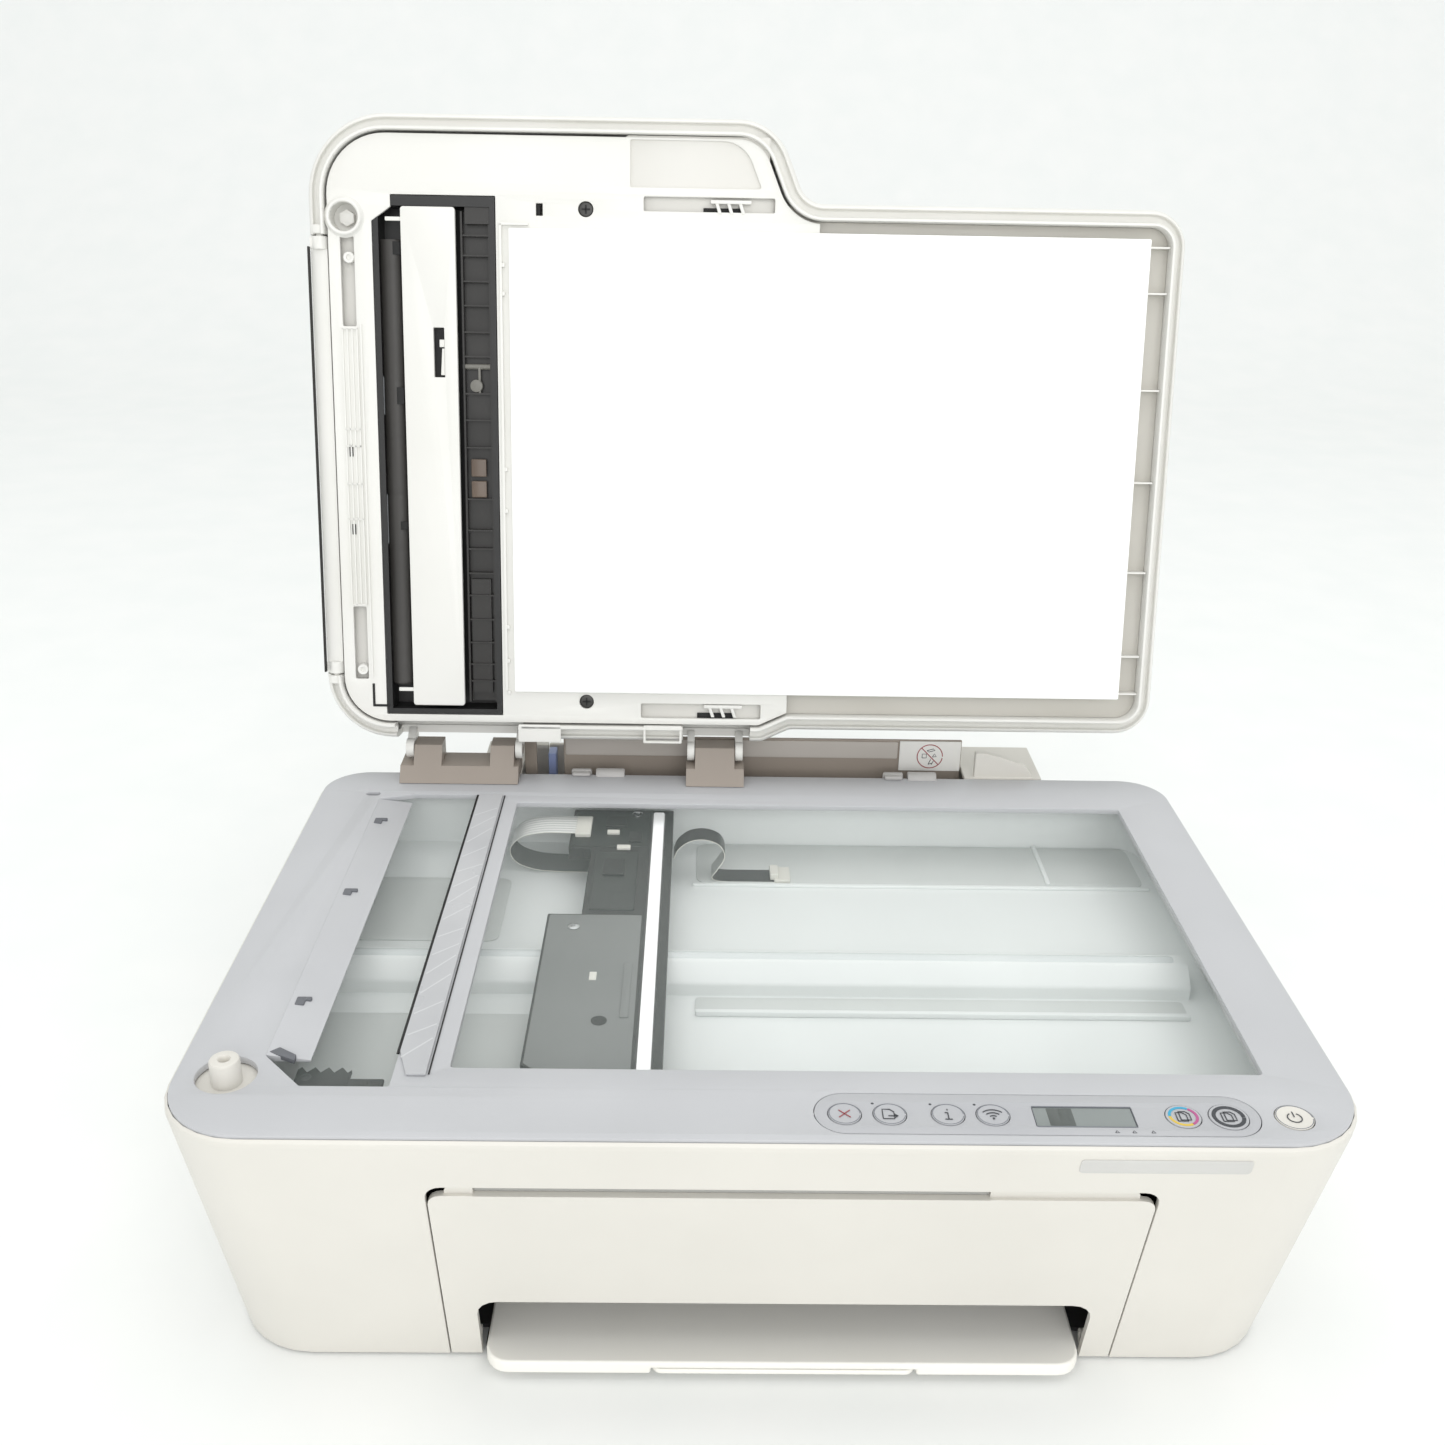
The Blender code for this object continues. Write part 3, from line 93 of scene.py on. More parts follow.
def plastic(name, light, deep, gloss, grain=0.9, depth=0.02, specular=0.5):
    """Moulded plastic, IOR 1.5: its colour drifts from light to deep over 60 mm, its roughness by 0.06
    over 25 mm, and its grain is noise of the given size and depth in millimetres."""
    material = bpy.data.materials.new(name)
    material.use_nodes = True
    tree = material.node_tree
    shader = tree.nodes["Principled BSDF"]
    shader.inputs["IOR"].default_value = 1.5
    shader.inputs["Specular IOR Level"].default_value = specular
    place = add_node(tree, "TexCoord").outputs["Object"]
    drift = add_node(tree, "TexNoise", Vector=place, Scale=1000 / 60, Detail=2.0)
    tint = add_node(tree, "ValToRGB", Fac=drift.outputs["Fac"])
    tint.color_ramp.elements[0].position, tint.color_ramp.elements[1].position = 0.3, 0.7
    tint.color_ramp.elements[0].color, tint.color_ramp.elements[1].color = linear(deep), linear(light)
    tree.links.new(tint.outputs["Color"], shader.inputs["Base Color"])
    wear = add_node(tree, "TexNoise", Vector=place, Scale=1000 / 25, Detail=3.0)
    polish = add_node(tree, "MapRange", Value=wear.outputs["Fac"], From_Min=0.3, From_Max=0.7,
                      To_Min=gloss - 0.03, To_Max=gloss + 0.03)
    tree.links.new(polish.outputs["Result"], shader.inputs["Roughness"])
    pits = add_node(tree, "TexNoise", Vector=place, Scale=1000 / grain, Detail=2.0)
    relief = add_node(tree, "Bump", Height=pits.outputs["Fac"], Strength=0.5, Distance=depth / 1000)
    tree.links.new(relief.outputs["Normal"], shader.inputs["Normal"])
    return material


# Moulded ABS: a warm white that the eye reads as matt on the walls and softly shining at the radii.
white_abs = plastic("moulded_white_abs", "#DBD8D1", "#D7D4CD", 0.42)


def refinish(material, *nodes):
    """A node keeps its shape and takes a better material."""
    for node in nodes:
        frame["nodes"][node].material_slots[0].material = material


def link_piece(piece, body):
    """Puts a piece in the scene, on its body."""
    bpy.context.scene.collection.objects.link(piece)
    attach(piece, body)
    return piece


def soft_edged(node, name, material, width=0.5, segments=2, angle=35):
    """The node's own shape, merged and with its flat faces made whole, and each sharp edge rounded to the
    width in mm."""
    source = frame["nodes"][node]
    shape = bmesh.new()
    shape.from_mesh(source.data)
    bmesh.ops.remove_doubles(shape, verts=shape.verts, dist=2e-6)
    bmesh.ops.dissolve_limit(shape, angle_limit=math.radians(0.6), verts=shape.verts, edges=shape.edges)
    mesh = bpy.data.meshes.new(name)
    shape.to_mesh(mesh)
    shape.free()
    mesh.materials.append(material)
    mesh.shade_smooth()
    piece = link_piece(bpy.data.objects.new(name, mesh), source["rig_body"])
    rounding = piece.modifiers.new("edge_radius", "BEVEL")
    rounding.width, rounding.segments = width / 1000, segments
    rounding.limit_method, rounding.angle_limit = "ANGLE", math.radians(angle)
    rounding.use_clamp_overlap = True
    rounding.harden_normals = False
    smoothing = piece.modifiers.new("flat_faces", "WEIGHTED_NORMAL")
    smoothing.keep_sharp = True
    smoothing.weight = 90
    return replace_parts(piece, node)


soft_edged("base_shell", "casing", white_abs, 0.6)

# ---- casing's name plate and feet ----------------------------------------------------------------
# A blank lozenge is hot-stamped on the front in a paler grey film, and four rubber discs of 14 mm
# are pressed into the pan's feet so the printer doesn't slide.
WINDOW_CENTRE = np.array([35.0, -46.9, 130.0])


def on_base(points):
    """Millimetres from the scan window's centre to metres in the row's frame: (p + centre) / 1000."""
    return (np.asarray(points, float) + WINDOW_CENTRE) / 1000


def outline(corners, steps=10):
    """Polygon with round corners: at (x, y, r) the centre lies r / sin(half angle) along the bisector,
    and its points turn evenly from one side to the other."""
    c = np.array([tuple(k) + (0.0,) * (3 - len(k)) for k in corners], float)
    p, r = c[:, :2], np.maximum(c[:, 2], 1e-4)
    before, after = np.roll(p, 1, 0) - p, np.roll(p, -1, 0) - p
    before /= np.linalg.norm(before, axis=1)[:, None]
    after /= np.linalg.norm(after, axis=1)[:, None]
    half = np.arccos(np.clip((before * after).sum(1), -1, 1)) / 2
    bisector = before + after
    bisector /= np.linalg.norm(bisector, axis=1)[:, None]
    centre = p + bisector * (r / np.sin(half))[:, None]
    start = p + before * (r / np.tan(half))[:, None] - centre
    end = p + after * (r / np.tan(half))[:, None] - centre
    turn = np.arctan2(start[:, 0] * end[:, 1] - start[:, 1] * end[:, 0], (start * end).sum(1))
    a = turn[:, None] * np.linspace(0, 1, steps + 1)
    x = centre[:, :1] + start[:, :1] * np.cos(a) - start[:, 1:] * np.sin(a)
    y = centre[:, 1:] + start[:, :1] * np.sin(a) + start[:, 1:] * np.cos(a)
    return np.stack([x, y], -1).reshape(-1, 2)


def rectangle(x0, y0, x1, y1, radius=0.0, steps=6):
    """Rectangle with round corners."""
    return outline([(x0, y0, radius), (x1, y0, radius), (x1, y1, radius), (x0, y1, radius)], steps)


def round_hole(x, y, radius, steps=40):
    """Circle: (x + r cos a, y + r sin a)."""
    a = np.linspace(0, 2 * np.pi, steps, endpoint=False)
    return np.stack([x + radius * np.cos(a), y + radius * np.sin(a)], -1)


def plate(outlines, low, high, edge=0.3):
    """Flat outline, holes after it, as a solid from low to high with its edges rounded to a radius."""
    curve = bpy.data.curves.new("plate", "CURVE")
    curve.dimensions, curve.fill_mode = "2D", "BOTH"
    curve.bevel_depth, curve.bevel_resolution, curve.offset = edge, 1, -edge
    curve.extrude = max((high - low) / 2 - edge, 0.0)
    for points in outlines:
        points = points[np.linalg.norm(points - np.roll(points, 1, 0), axis=1) > 2e-3]
        spline = curve.splines.new("POLY")
        spline.points.add(len(points) - 1)
        flat = np.zeros((len(points), 4))
        flat[:, :2], flat[:, 3] = points, 1.0
        spline.points.foreach_set("co", flat.ravel())
        spline.use_cyclic_u = True
    drawn = bpy.data.objects.new("plate", curve)
    bpy.context.scene.collection.objects.link(drawn)
    bpy.context.view_layer.update()
    mesh = bpy.data.meshes.new_from_object(drawn.evaluated_get(bpy.context.evaluated_depsgraph_get()))
    points = np.zeros(len(mesh.vertices) * 3)
    mesh.vertices.foreach_get("co", points)
    points = points.reshape(-1, 3)
    points[:, 2] += (high + low) / 2
    faces = [tuple(f.vertices) for f in mesh.polygons]
    bpy.data.objects.remove(drawn)
    bpy.data.curves.remove(curve)
    bpy.data.meshes.remove(mesh)
    return points, faces


def pad(corners, low, high, edge=0.3):
    """Rectangular plate with round corners: (x0, y0, x1, y1, radius)."""
    return plate([rectangle(*corners)], low, high, edge)


def grid_faces(rows, cols, wrap_rows=False, wrap_cols=False):
    """Quads (i, j), (i, j+1), (i+1, j+1), (i+1, j) of a grid of points."""
    i, j = np.meshgrid(np.arange(rows - (not wrap_rows)), np.arange(cols - (not wrap_cols)), indexing="ij")
    k, m = (i + 1) % rows, (j + 1) % cols
    return np.stack([i * cols + j, i * cols + m, k * cols + m, k * cols + j], -1).reshape(-1, 4).tolist()


def turned(profile, centre, axis="z", steps=36):
    """Turned shape: (r, h) of the profile goes round the axis as centre + r (cos a, sin a) + h along it."""
    p = np.array(profile, float)
    a = np.linspace(0, 2 * np.pi, steps, endpoint=False)
    ring = np.stack([p[:, :1] * np.cos(a), p[:, :1] * np.sin(a), p[:, 1:] + 0 * a], -1)
    order = {"z": [0, 1, 2], "x": [2, 0, 1], "y": [0, 2, 1]}[axis]
    points = (ring[..., order] + np.array(centre, float)).reshape(-1, 3)
    return points, grid_faces(len(p), steps, wrap_cols=True)


def stood_up(shape):
    """An outline drawn as (x, z), its thickness along y."""
    return shape[0][:, [0, 2, 1]], shape[1]


def together(*shapes):
    """Several shapes as one mesh's points and faces."""
    points, faces, start = [], [], 0
    for p, f in shapes:
        points.append(p)
        faces += [tuple(int(k) + start for k in face) for face in f]
        start += len(p)
    return np.concatenate(points), faces


def make_piece(name, shape, material, body, place=on_base, sharp=38):
    """A piece from points in mm: put in place, its doubles merged, its faces turned outwards."""
    mesh = bpy.data.meshes.new(name)
    mesh.from_pydata(place(shape[0]).tolist(), [], shape[1])
    tidy = bmesh.new()
    tidy.from_mesh(mesh)
    bmesh.ops.remove_doubles(tidy, verts=tidy.verts, dist=4e-6)
    bmesh.ops.dissolve_degenerate(tidy, dist=1e-6, edges=tidy.edges)
    bmesh.ops.recalc_face_normals(tidy, faces=tidy.faces)
    tidy.to_mesh(mesh)
    tidy.free()
    mesh.materials.append(material)
    mesh.shade_smooth()
    mesh.set_sharp_from_angle(angle=math.radians(sharp))
    return link_piece(bpy.data.objects.new(name, mesh), body)


FRONT_Y, FRONT_TOP, FRONT_LEAN = -150.0, -2.0, 33 / 128


def on_front(points):
    """A point (x, depth, z) on the leaning front: below its top, y = front + lean (top - z) + depth."""
    p = np.array(points, float)
    p[:, 1] += FRONT_Y + FRONT_LEAN * np.maximum(0, FRONT_TOP - p[:, 2])
    return on_base(p)


# Hot-stamped polyester film on the casing: flatter and a shade greyer than the wall round it.
plate_film = plastic("hot_stamped_film", "#CBCAC7", "#C6C5C2", 0.3, grain=2.0, depth=0.004)
make_piece("name_plate", stood_up(pad((73.7, -13.6, 133.6, -6.5, 1.6), -0.3, 0.2, 0.1)), plate_film,
           "base", on_front)

# Nitrile rubber: near black and dull, so the feet read as soft.
foot_rubber = plastic("nitrile_rubber", "#2C2C2C", "#242424", 0.75, grain=0.6, depth=0.03)
make_piece("foot_pads", together(*[
    turned([(0, 0), (6.2, 0), (6.8, 0.3), (7.1, 0.9), (7.1, 1.6), (0, 1.6)], (x, y, -130.0))
    for x in (-220, 150) for y in (-94, 111.5)]), foot_rubber, "base")

# Filled black styrene of the inner chassis: dark grey, dull, with a coarse grain.
pan_plastic = plastic("filled_dark_styrene", "#3A3A3A", "#323232", 0.55, grain=1.2, depth=0.04)
refinish(pan_plastic, "base_pan", "motor_pulley", "idler_pulley")

# ---- print engine --------------------------------------------------------------------------------
# Zinc-coated steel sheet and a ground steel rod carry the black carriage, which holds two ink cartridges.
# Rubber-coated shafts feed the paper, and a toothed belt pulls the carriage.


def rolled_steel(name, light, deep, gloss):
    """Cold-rolled steel: roughness and colour follow fine streaks 0.4 mm wide and 30 mm long."""
    material = bpy.data.materials.new(name)
    material.use_nodes = True
    tree = material.node_tree
    shader = tree.nodes["Principled BSDF"]
    shader.inputs["Metallic"].default_value = 1.0
    place = add_node(tree, "TexCoord").outputs["Object"]
    along = add_node(tree, "Mapping", Vector=place, Scale=(1000 / 30, 1000 / 0.8, 1000 / 0.8))
    streak = add_node(tree, "TexNoise", Vector=along.outputs["Vector"], Scale=1.0, Detail=3.0)
    tint = add_node(tree, "ValToRGB", Fac=streak.outputs["Fac"])
    tint.color_ramp.elements[0].position, tint.color_ramp.elements[1].position = 0.3, 0.7
    tint.color_ramp.elements[0].color, tint.color_ramp.elements[1].color = linear(deep), linear(light)
    tree.links.new(tint.outputs["Color"], shader.inputs["Base Color"])
    rub = add_node(tree, "MapRange", Value=streak.outputs["Fac"], To_Min=gloss - 0.08, To_Max=gloss + 0.08)
    tree.links.new(rub.outputs["Result"], shader.inputs["Roughness"])
    return material


# Zinc-coated cold-rolled steel: a grey sheen broken by the rolling streaks.
zinc_steel = rolled_steel("zinc_coated_steel", "#B9BCBE", "#9EA2A5", 0.34)
refinish(zinc_steel, "chassis", "carriage_motor", "usb_socket")
refinish(foot_rubber, "feed_roller", "output_roller", "pick_roller", "carriage_belt", "feeder_roller",
         "feeder_pick_roller")

# Black ABS inside the printer: satin, picking up only broad highlights.
black_abs = plastic("moulded_black_abs", "#1E1E1E", "#171717", 0.42)
soft_edged("print_carriage", "ink_carriage_body", black_abs, 0.8)
soft_edged("cartridge_black", "ink_cartridge_black", black_abs, 0.8)
soft_edged("cartridge_colour", "ink_cartridge_colour", black_abs, 0.8)
soft_edged("power_inlet", "mains_inlet", black_abs, 0.3)
label_white = plastic("printed_label_paper", "#ECEBE8", "#E6E5E1", 0.5, grain=0.4, depth=0.008)
for name, x0, x1 in (("label_black", 117.6, 142.4), ("label_colour", 87.6, 112.4)):
    make_piece(name, stood_up(pad((x0, -88, x1, -56, 2), -50.25, -49.9, 0.1)), label_white,
               "ink_carriage")
ink_dots = {"dot_cyan": ("#1C8FC6", 92.5), "dot_magenta": ("#C2327F", 100.0),
            "dot_yellow": ("#E5C532", 107.5), "dot_key": ("#26262A", 130.0)}
for name, (colour, x) in ink_dots.items():
    make_piece(name, turned([(0, -0.4), (2.6, -0.4), (2.6, 0.0), (0, 0.0)], (x, -50.1, -68.0), "y", 24),
               plastic(name + "_ink", colour, colour, 0.4, grain=0.5, depth=0.006), "ink_carriage")

# ---- scanner tub ---------------------------------------------------------------------------------
# The tub is a shallow pale grey ABS tray under the glass. Its floor steps down behind the guide rail,
# and the rail is a smooth rounded ridge the scan head slides on.
TUB_FLOOR = -32.0
tub_abs = plastic("moulded_pale_grey_abs", "#ECEFEE", "#E8EBEA", 0.36)
soft_edged("scanner_tub", "tub", tub_abs, 0.7, 3)
# tub_shade is the tub's pale grey painted darker: the trough behind the rail, the bands beside the rail and
# two patches at the left are painted shade, not a darker moulding.
tub_shade = plastic("painted_shade_tub_abs", "#D6D9D7", "#D0D3D1", 0.42)
make_piece("tub_trough", together(
    pad((-60, 86, 160, 126, 5), TUB_FLOOR, -31.3, 0.3),
    pad((-60, -25, 150, -14, 2), TUB_FLOOR, -31.4, 0.2), pad((-60, 14, 150, 19, 2), TUB_FLOOR, -31.4, 0.2),
    pad((-232, 30, -150, 88, 5), TUB_FLOOR, -31.3, 0.3),
    pad((-232, -118, -120, -28, 6), TUB_FLOOR, -31.3, 0.3)), tub_shade, "base")
make_piece("tub_steps", together(
    pad((-62, 82.6, 162, 84.6, 0.8), TUB_FLOOR, -30.4, 0.4),
    pad((112, 86, 114, 126, 0.9), TUB_FLOOR, -30.0, 0.4),
    pad((-60, -28, 150, -25.5, 1.0), TUB_FLOOR, -29.4, 0.6),
    pad((-60, 19.5, 150, 22, 1.0), TUB_FLOOR, -29.4, 0.6)), tub_abs, "base")
rail_polish = plastic("polished_rail_abs", "#DDE1E1", "#D6DBDB", 0.2, grain=3.0, depth=0.004)
make_piece("rail_cap", turned([(0, -222), (4.2, -221.4), (4.6, -220), (4.6, 147), (4.2, 148.4), (0, 149)],
                              (0, 0, -22.6), "x", 28), rail_polish, "base")
refinish(black_abs, "scan_rack", "scan_pinion")
tooth_x = np.arange(-207.0, -186.9, 1.25)
tooth_y = -99.5 + 1.6 * np.clip(2.2 * np.sin(2 * np.pi * (tooth_x + 207) / 5), -1, 1)
rack_end = np.concatenate([np.stack([tooth_x, tooth_y], -1), [(-187, -112.0), (-207, -112.0)]])
make_piece("rack_end", together(plate([rack_end], -9.9, -8.1, 0.2),
                                pad((-187.5, -111, -174, -104.5, 0.8), -9.6, -8.3, 0.3),
                                turned([(0, -8.6), (1.9, -8.4), (2.2, -7.9), (1.2, -7.4), (0, -7.4)],
                                       (-203.0, -104.5, 0), "z", 24)), black_abs, "base")

# ---- scan head -----------------------------------------------------------------------------------
# A black ABS trough holds the contact image sensor. A dark grey cover is screwed over its front half,
# the driver board sits at its back, and a white light guide lies in its right edge.
soft_edged("scan_carriage", "scan_head_trough", black_abs, 0.6)
grey_cover = plastic("moulded_dark_grey_abs", "#7E807F", "#767877", 0.48)
make_piece("scan_head_cover",
           together(plate([outline([(-84, -91, 1), (-84, 20, 1), (-125, 20, 1.5), (-125, -90, 1),
                                    (-115, -99, 1), (-84, -99, 1)], 4)], -12.7, -11.1, 0.4),
                    pad((-90, -60, -86.5, -20, 0.6), -11.2, -10.6, 0.2)), grey_cover, "scan_head")
solder_mask = plastic("solder_masked_board", "#1F2422", "#191D1C", 0.32, grain=1.4, depth=0.03)
make_piece("sensor_board", together(plate([outline([(-120.5, 84, .5), (-84, 84, .5), (-84, 123, .5),
                                                    (-120.5, 123, .5)], 3)], -12.6, -10.9, 0.2),
                                    pad((-108, 24, -88, 78, 1), -12.6, -10.8, 0.3)), solder_mask,
           "scan_head")
connector_white = plastic("nylon_connector", "#E4E2DA", "#DCDAD2", 0.4, grain=1.0, depth=0.01)
make_piece("board_connectors", together(
    pad((-119.5, 93, -112, 112, 0.4), -11.0, -9.0, 0.3),
    pad((-104, 96, -98, 99, 0.3), -11.0, -9.6, 0.2),
    pad((-98.5, 80, -92, 83.5, 0.3), -10.9, -9.6, 0.2),
    pad((-104, -33, -101, -27, 0.3), -11.2, -10.8, 0.1)), connector_white, "scan_head")
chip_black = plastic("moulded_chip_epoxy", "#101010", "#0C0C0C", 0.5, grain=0.5)
make_piece("board_chips",
           together(pad((-105, 104, -95, 114, 0.4), -11.0, -9.8, 0.2),
                    pad((-93, 88, -87, 98, 0.4), -11.0, -9.9, 0.2),
                    pad((-104, 55, -94, 70, 0.4), -10.9, -9.9, 0.2),
                    turned([(0, -10.9), (3.2, -10.9), (3.2, -11.2), (0, -11.2)], (-98, -62, 0))),
           chip_black, "scan_head")


def pan_head(x, y, z, radius=2.6):
    """Pan-head screw: a dome of revolution, z + 0.5 + 0.6 (1 - (r / R) ** 2), its socket sunk in it."""
    r = np.linspace(radius, 0.9, 8)
    dome = [(radius, 0.0)] + [(k, 0.5 + 0.6 * (1 - (k / radius) ** 2)) for k in r] + [(0.7, 0.3), (0, 0.25)]
    return turned(dome, (x, y, z), "z", 24)


screw_steel = rolled_steel("nickelled_steel", "#D5D6D6", "#B8BABB", 0.25)
make_piece("scan_head_screws", together(pan_head(-113.5, 9, -11.1), pan_head(-90, 118, -10.9)), screw_steel,
           "scan_head")
# Acrylic light guide: clear white, with a painted glow, a weak emission that stands in for light it would
# gather.
guide_acrylic_painted_glow = plastic("frosted_acrylic_painted_glow", "#FFFFFF", "#FDFDFD", 0.15, grain=4.0, depth=0.003)
guide_acrylic_painted_glow.node_tree.nodes["Principled BSDF"].inputs["Emission Color"].default_value = (1, 1, 1, 1)
guide_acrylic_painted_glow.node_tree.nodes["Principled BSDF"].inputs["Emission Strength"].default_value = 0.35
soft_edged("light_bar", "light_guide_rod", guide_acrylic_painted_glow, 0.9, 3)

# ---- flat cables ---------------------------------------------------------------------------------
# Two flexible flat cables of polyester film join the head to the casing: a white one rolls in a loop
# at its left, and a dark one folds over at its right and runs along the floor to a clip.


def carried(section, path, up=(0, 0, 1), closed=False, across=None):
    """A section (a, b) carried along a path: point = path + a side + b lift, with lift = ahead x side, and
    side = up x ahead or one direction all along it."""
    path = np.asarray(path, float)
    ahead = np.roll(path, -1, 0) - np.roll(path, 1, 0) if closed else np.gradient(path, axis=0)
    ahead /= np.linalg.norm(ahead, axis=1)[:, None]
    side = np.cross(np.array(up, float), ahead) if across is None else np.array(across, float) + 0 * ahead
    side /= np.linalg.norm(side, axis=1)[:, None]
    lift = np.cross(ahead, side)
    s = np.asarray(section, float)
    points = path[:, None] + s[None, :, :1] * side[:, None] + s[None, :, 1:] * lift[:, None]
    n, m = len(path), len(s)
    faces = grid_faces(n, m, closed, True)
    if not closed:
        faces += [list(range(m)), list(range((n - 1) * m, n * m))]
    return points.reshape(-1, 3), faces


def bar_section(width, height, lift=0.0):
    """Rectangle across the path."""
    return [(-width / 2, lift), (width / 2, lift), (width / 2, lift + height), (-width / 2, lift + height)]


def smooth_path(points, count=60):
    """A smooth line through a few points: cubic Hermite pieces, whose slope at a point is half the step
    between its neighbours."""
    p = np.array(points, float)
    m = np.gradient(p, axis=0)
    s = np.linspace(0, len(p) - 1 - 1e-9, count)
    i = s.astype(int)
    t = (s - i)[:, None]
    return ((2 * t ** 3 - 3 * t ** 2 + 1) * p[i] + (t ** 3 - 2 * t ** 2 + t) * m[i]
            + (3 * t ** 2 - 2 * t ** 3) * p[i + 1] + (t ** 3 - t ** 2) * m[i + 1])


def cable_film(name, light, deep, pitch, across):
    """Polyester film over tinned copper, with a stripe wave of the conductors' pitch in mm."""
    material = plastic(name, light, deep, 0.32, grain=3.0, depth=0.004)
    tree = material.node_tree
    shader = tree.nodes["Principled BSDF"]
    place = tree.nodes["Texture Coordinate"].outputs["Object"]
    lines = add_node(tree, "TexWave", wave_type="BANDS", bands_direction=across, Vector=place,
                     Scale=1000 / pitch / 20 * math.pi, Distortion=0.0)
    tint = add_node(tree, "ValToRGB", Fac=lines.outputs["Fac"])
    tint.color_ramp.elements[0].color, tint.color_ramp.elements[1].color = linear(deep), linear(light)
    tree.links.new(tint.outputs["Color"], shader.inputs["Base Color"])
    return material


white_film = cable_film("white_polyester_cable", "#F4F4F1", "#C9CAC8", 1.25, "Y")
dark_film = cable_film("dark_polyester_cable", "#3B3B3C", "#232324", 1.0, "Y")
light_film = plastic("bare_polyester_film", "#B9BBB9", "#ABAEAC", 0.3, grain=3.0, depth=0.004)
shade_film = plastic("shadowed_polyester_film", "#6A6C6B", "#5E605F", 0.4, grain=3.0, depth=0.004)
# Each cable: its outer and inner face, the Y of its middle, its width, and its run as (x, z) from the
# head to its end on the floor.
cables = {
    "white_flat_cable": (white_film, shade_film, 104, 18.0, "scan_ribbon_white", "white_film", [
        (-112, -10.1), (-124, -9.7), (-136, -9.9), (-146, -12.5), (-151.6, -19), (-149, -26), (-140, -30),
        (-128, -31.2), (-112, -31.4)]),
    "dark_flat_cable": (light_film, dark_film, 93, 12.0, "scan_ribbon_dark", "dark_ribbon", [
        (-71.2, -19), (-69, -14), (-63.5, -9.6), (-56, -8.6), (-49, -11.5), (-46.5, -18), (-50, -25),
        (-52.5, -29.4), (-48, -31.2), (-36, -31.4), (-20, -31.4)]),
}
for name, (outer, inner, y, width, node, slot, run) in cables.items():
    points, faces = carried(bar_section(width, 0.35, -0.17), smooth_path([(x, y, z) for x, z in run], 90),
                            across=(0, 1, 0))
    mesh = bpy.data.meshes.new(name)
    mesh.from_pydata(on_base(points).tolist(), [], faces)
    for film in (outer, inner, connector_white):
        mesh.materials.append(film)
    # The section's sides come in turn along the run: one face, an edge, the other face, an edge.
    finish = np.tile([0, 2, 1, 2], len(faces) // 4 + 1)[:len(faces)].astype(np.int32)
    mesh.polygons.foreach_set("material_index", finish)
    mesh.shade_smooth()
    mesh.set_sharp_from_angle(angle=math.radians(40))
    cable = bpy.data.objects.new(name, mesh)
    bpy.context.scene.collection.objects.link(cable)
    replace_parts(cable, node)
    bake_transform(cable)
make_piece("cable_clip", together(pad((-22, 86, -14, 100, 1), TUB_FLOOR, -29.8, 0.5),
                                  pad((-24, 88, -20, 98, 0.6), -31.0, -27.6, 0.4)), connector_white,
           "base")

# ---- glass ---------------------------------------------------------------------------------------
# Two panes of float glass 3 mm thick: the large one for a sheet laid flat, the narrow one for the feeder.
# A grey polycarbonate strip covers the joint between them.


def float_glass(name):
    """Soda-lime float glass, IOR 1.52: light passes, and a faint green tint and a sharp reflection stay."""
    material = bpy.data.materials.new(name)
    material.use_nodes = True
    tree = material.node_tree
    shader = tree.nodes["Principled BSDF"]
    shader.inputs["IOR"].default_value = 1.52
    shader.inputs["Base Color"].default_value = linear("#C8D2CE")
    shader.inputs["Alpha"].default_value = 0.07
    place = add_node(tree, "TexCoord").outputs["Object"]
    smear = add_node(tree, "TexNoise", Vector=place, Scale=1000 / 90, Detail=2.0)
    wiped = add_node(tree, "MapRange", Value=smear.outputs["Fac"], To_Min=0.03, To_Max=0.12)
    tree.links.new(wiped.outputs["Result"], shader.inputs["Roughness"])
    return material


pane = float_glass("soda_lime_float_glass")
refinish(pane, "scan_glass", "feeder_glass")
film_grey = plastic("satin_polycarbonate_film", "#B6B7BA", "#B0B1B5", 0.33, grain=0.6, depth=0.006)
refinish(plastic("printed_polyester_strip", "#C2C3C5", "#B5B6B9", 0.3, grain=2.5, depth=0.01),
         "glass_divider")
make_piece("divider_edge",
           together(carried(bar_section(1.0, 0.5), [(-169.2, -101, 0.15), (-169.2, 115, 0.15)]),
                    carried(bar_section(0.5, 0.4), [(-155.9, -113, 0.1), (-155.9, 115, 0.1)])), chip_black,
           "base")


def printed(lines, width, z, thick=0.06):
    """Printed lines: each path of (x, y) points carried flat at a height, as wide as the stroke."""
    made = []
    for line in lines:
        path = np.zeros((len(line), 3))
        path[:, :2] = np.asarray(line, float)[:, :2]
        path[:, 2] = z
        made.append(carried(bar_section(width, thick), path))
    return together(*made)


streaks = [[(-167.6, y), (-157.8, y + 11 + 4 * math.sin(y))] for y in np.arange(-104, 104, 14.0)]
make_piece("divider_streaks", printed(streaks, 0.7, 1.0, 0.02),
           plastic("printed_polyester_streak", "#CDCED0", "#C9CACC", 0.3, grain=2.5, depth=0.01), "base")

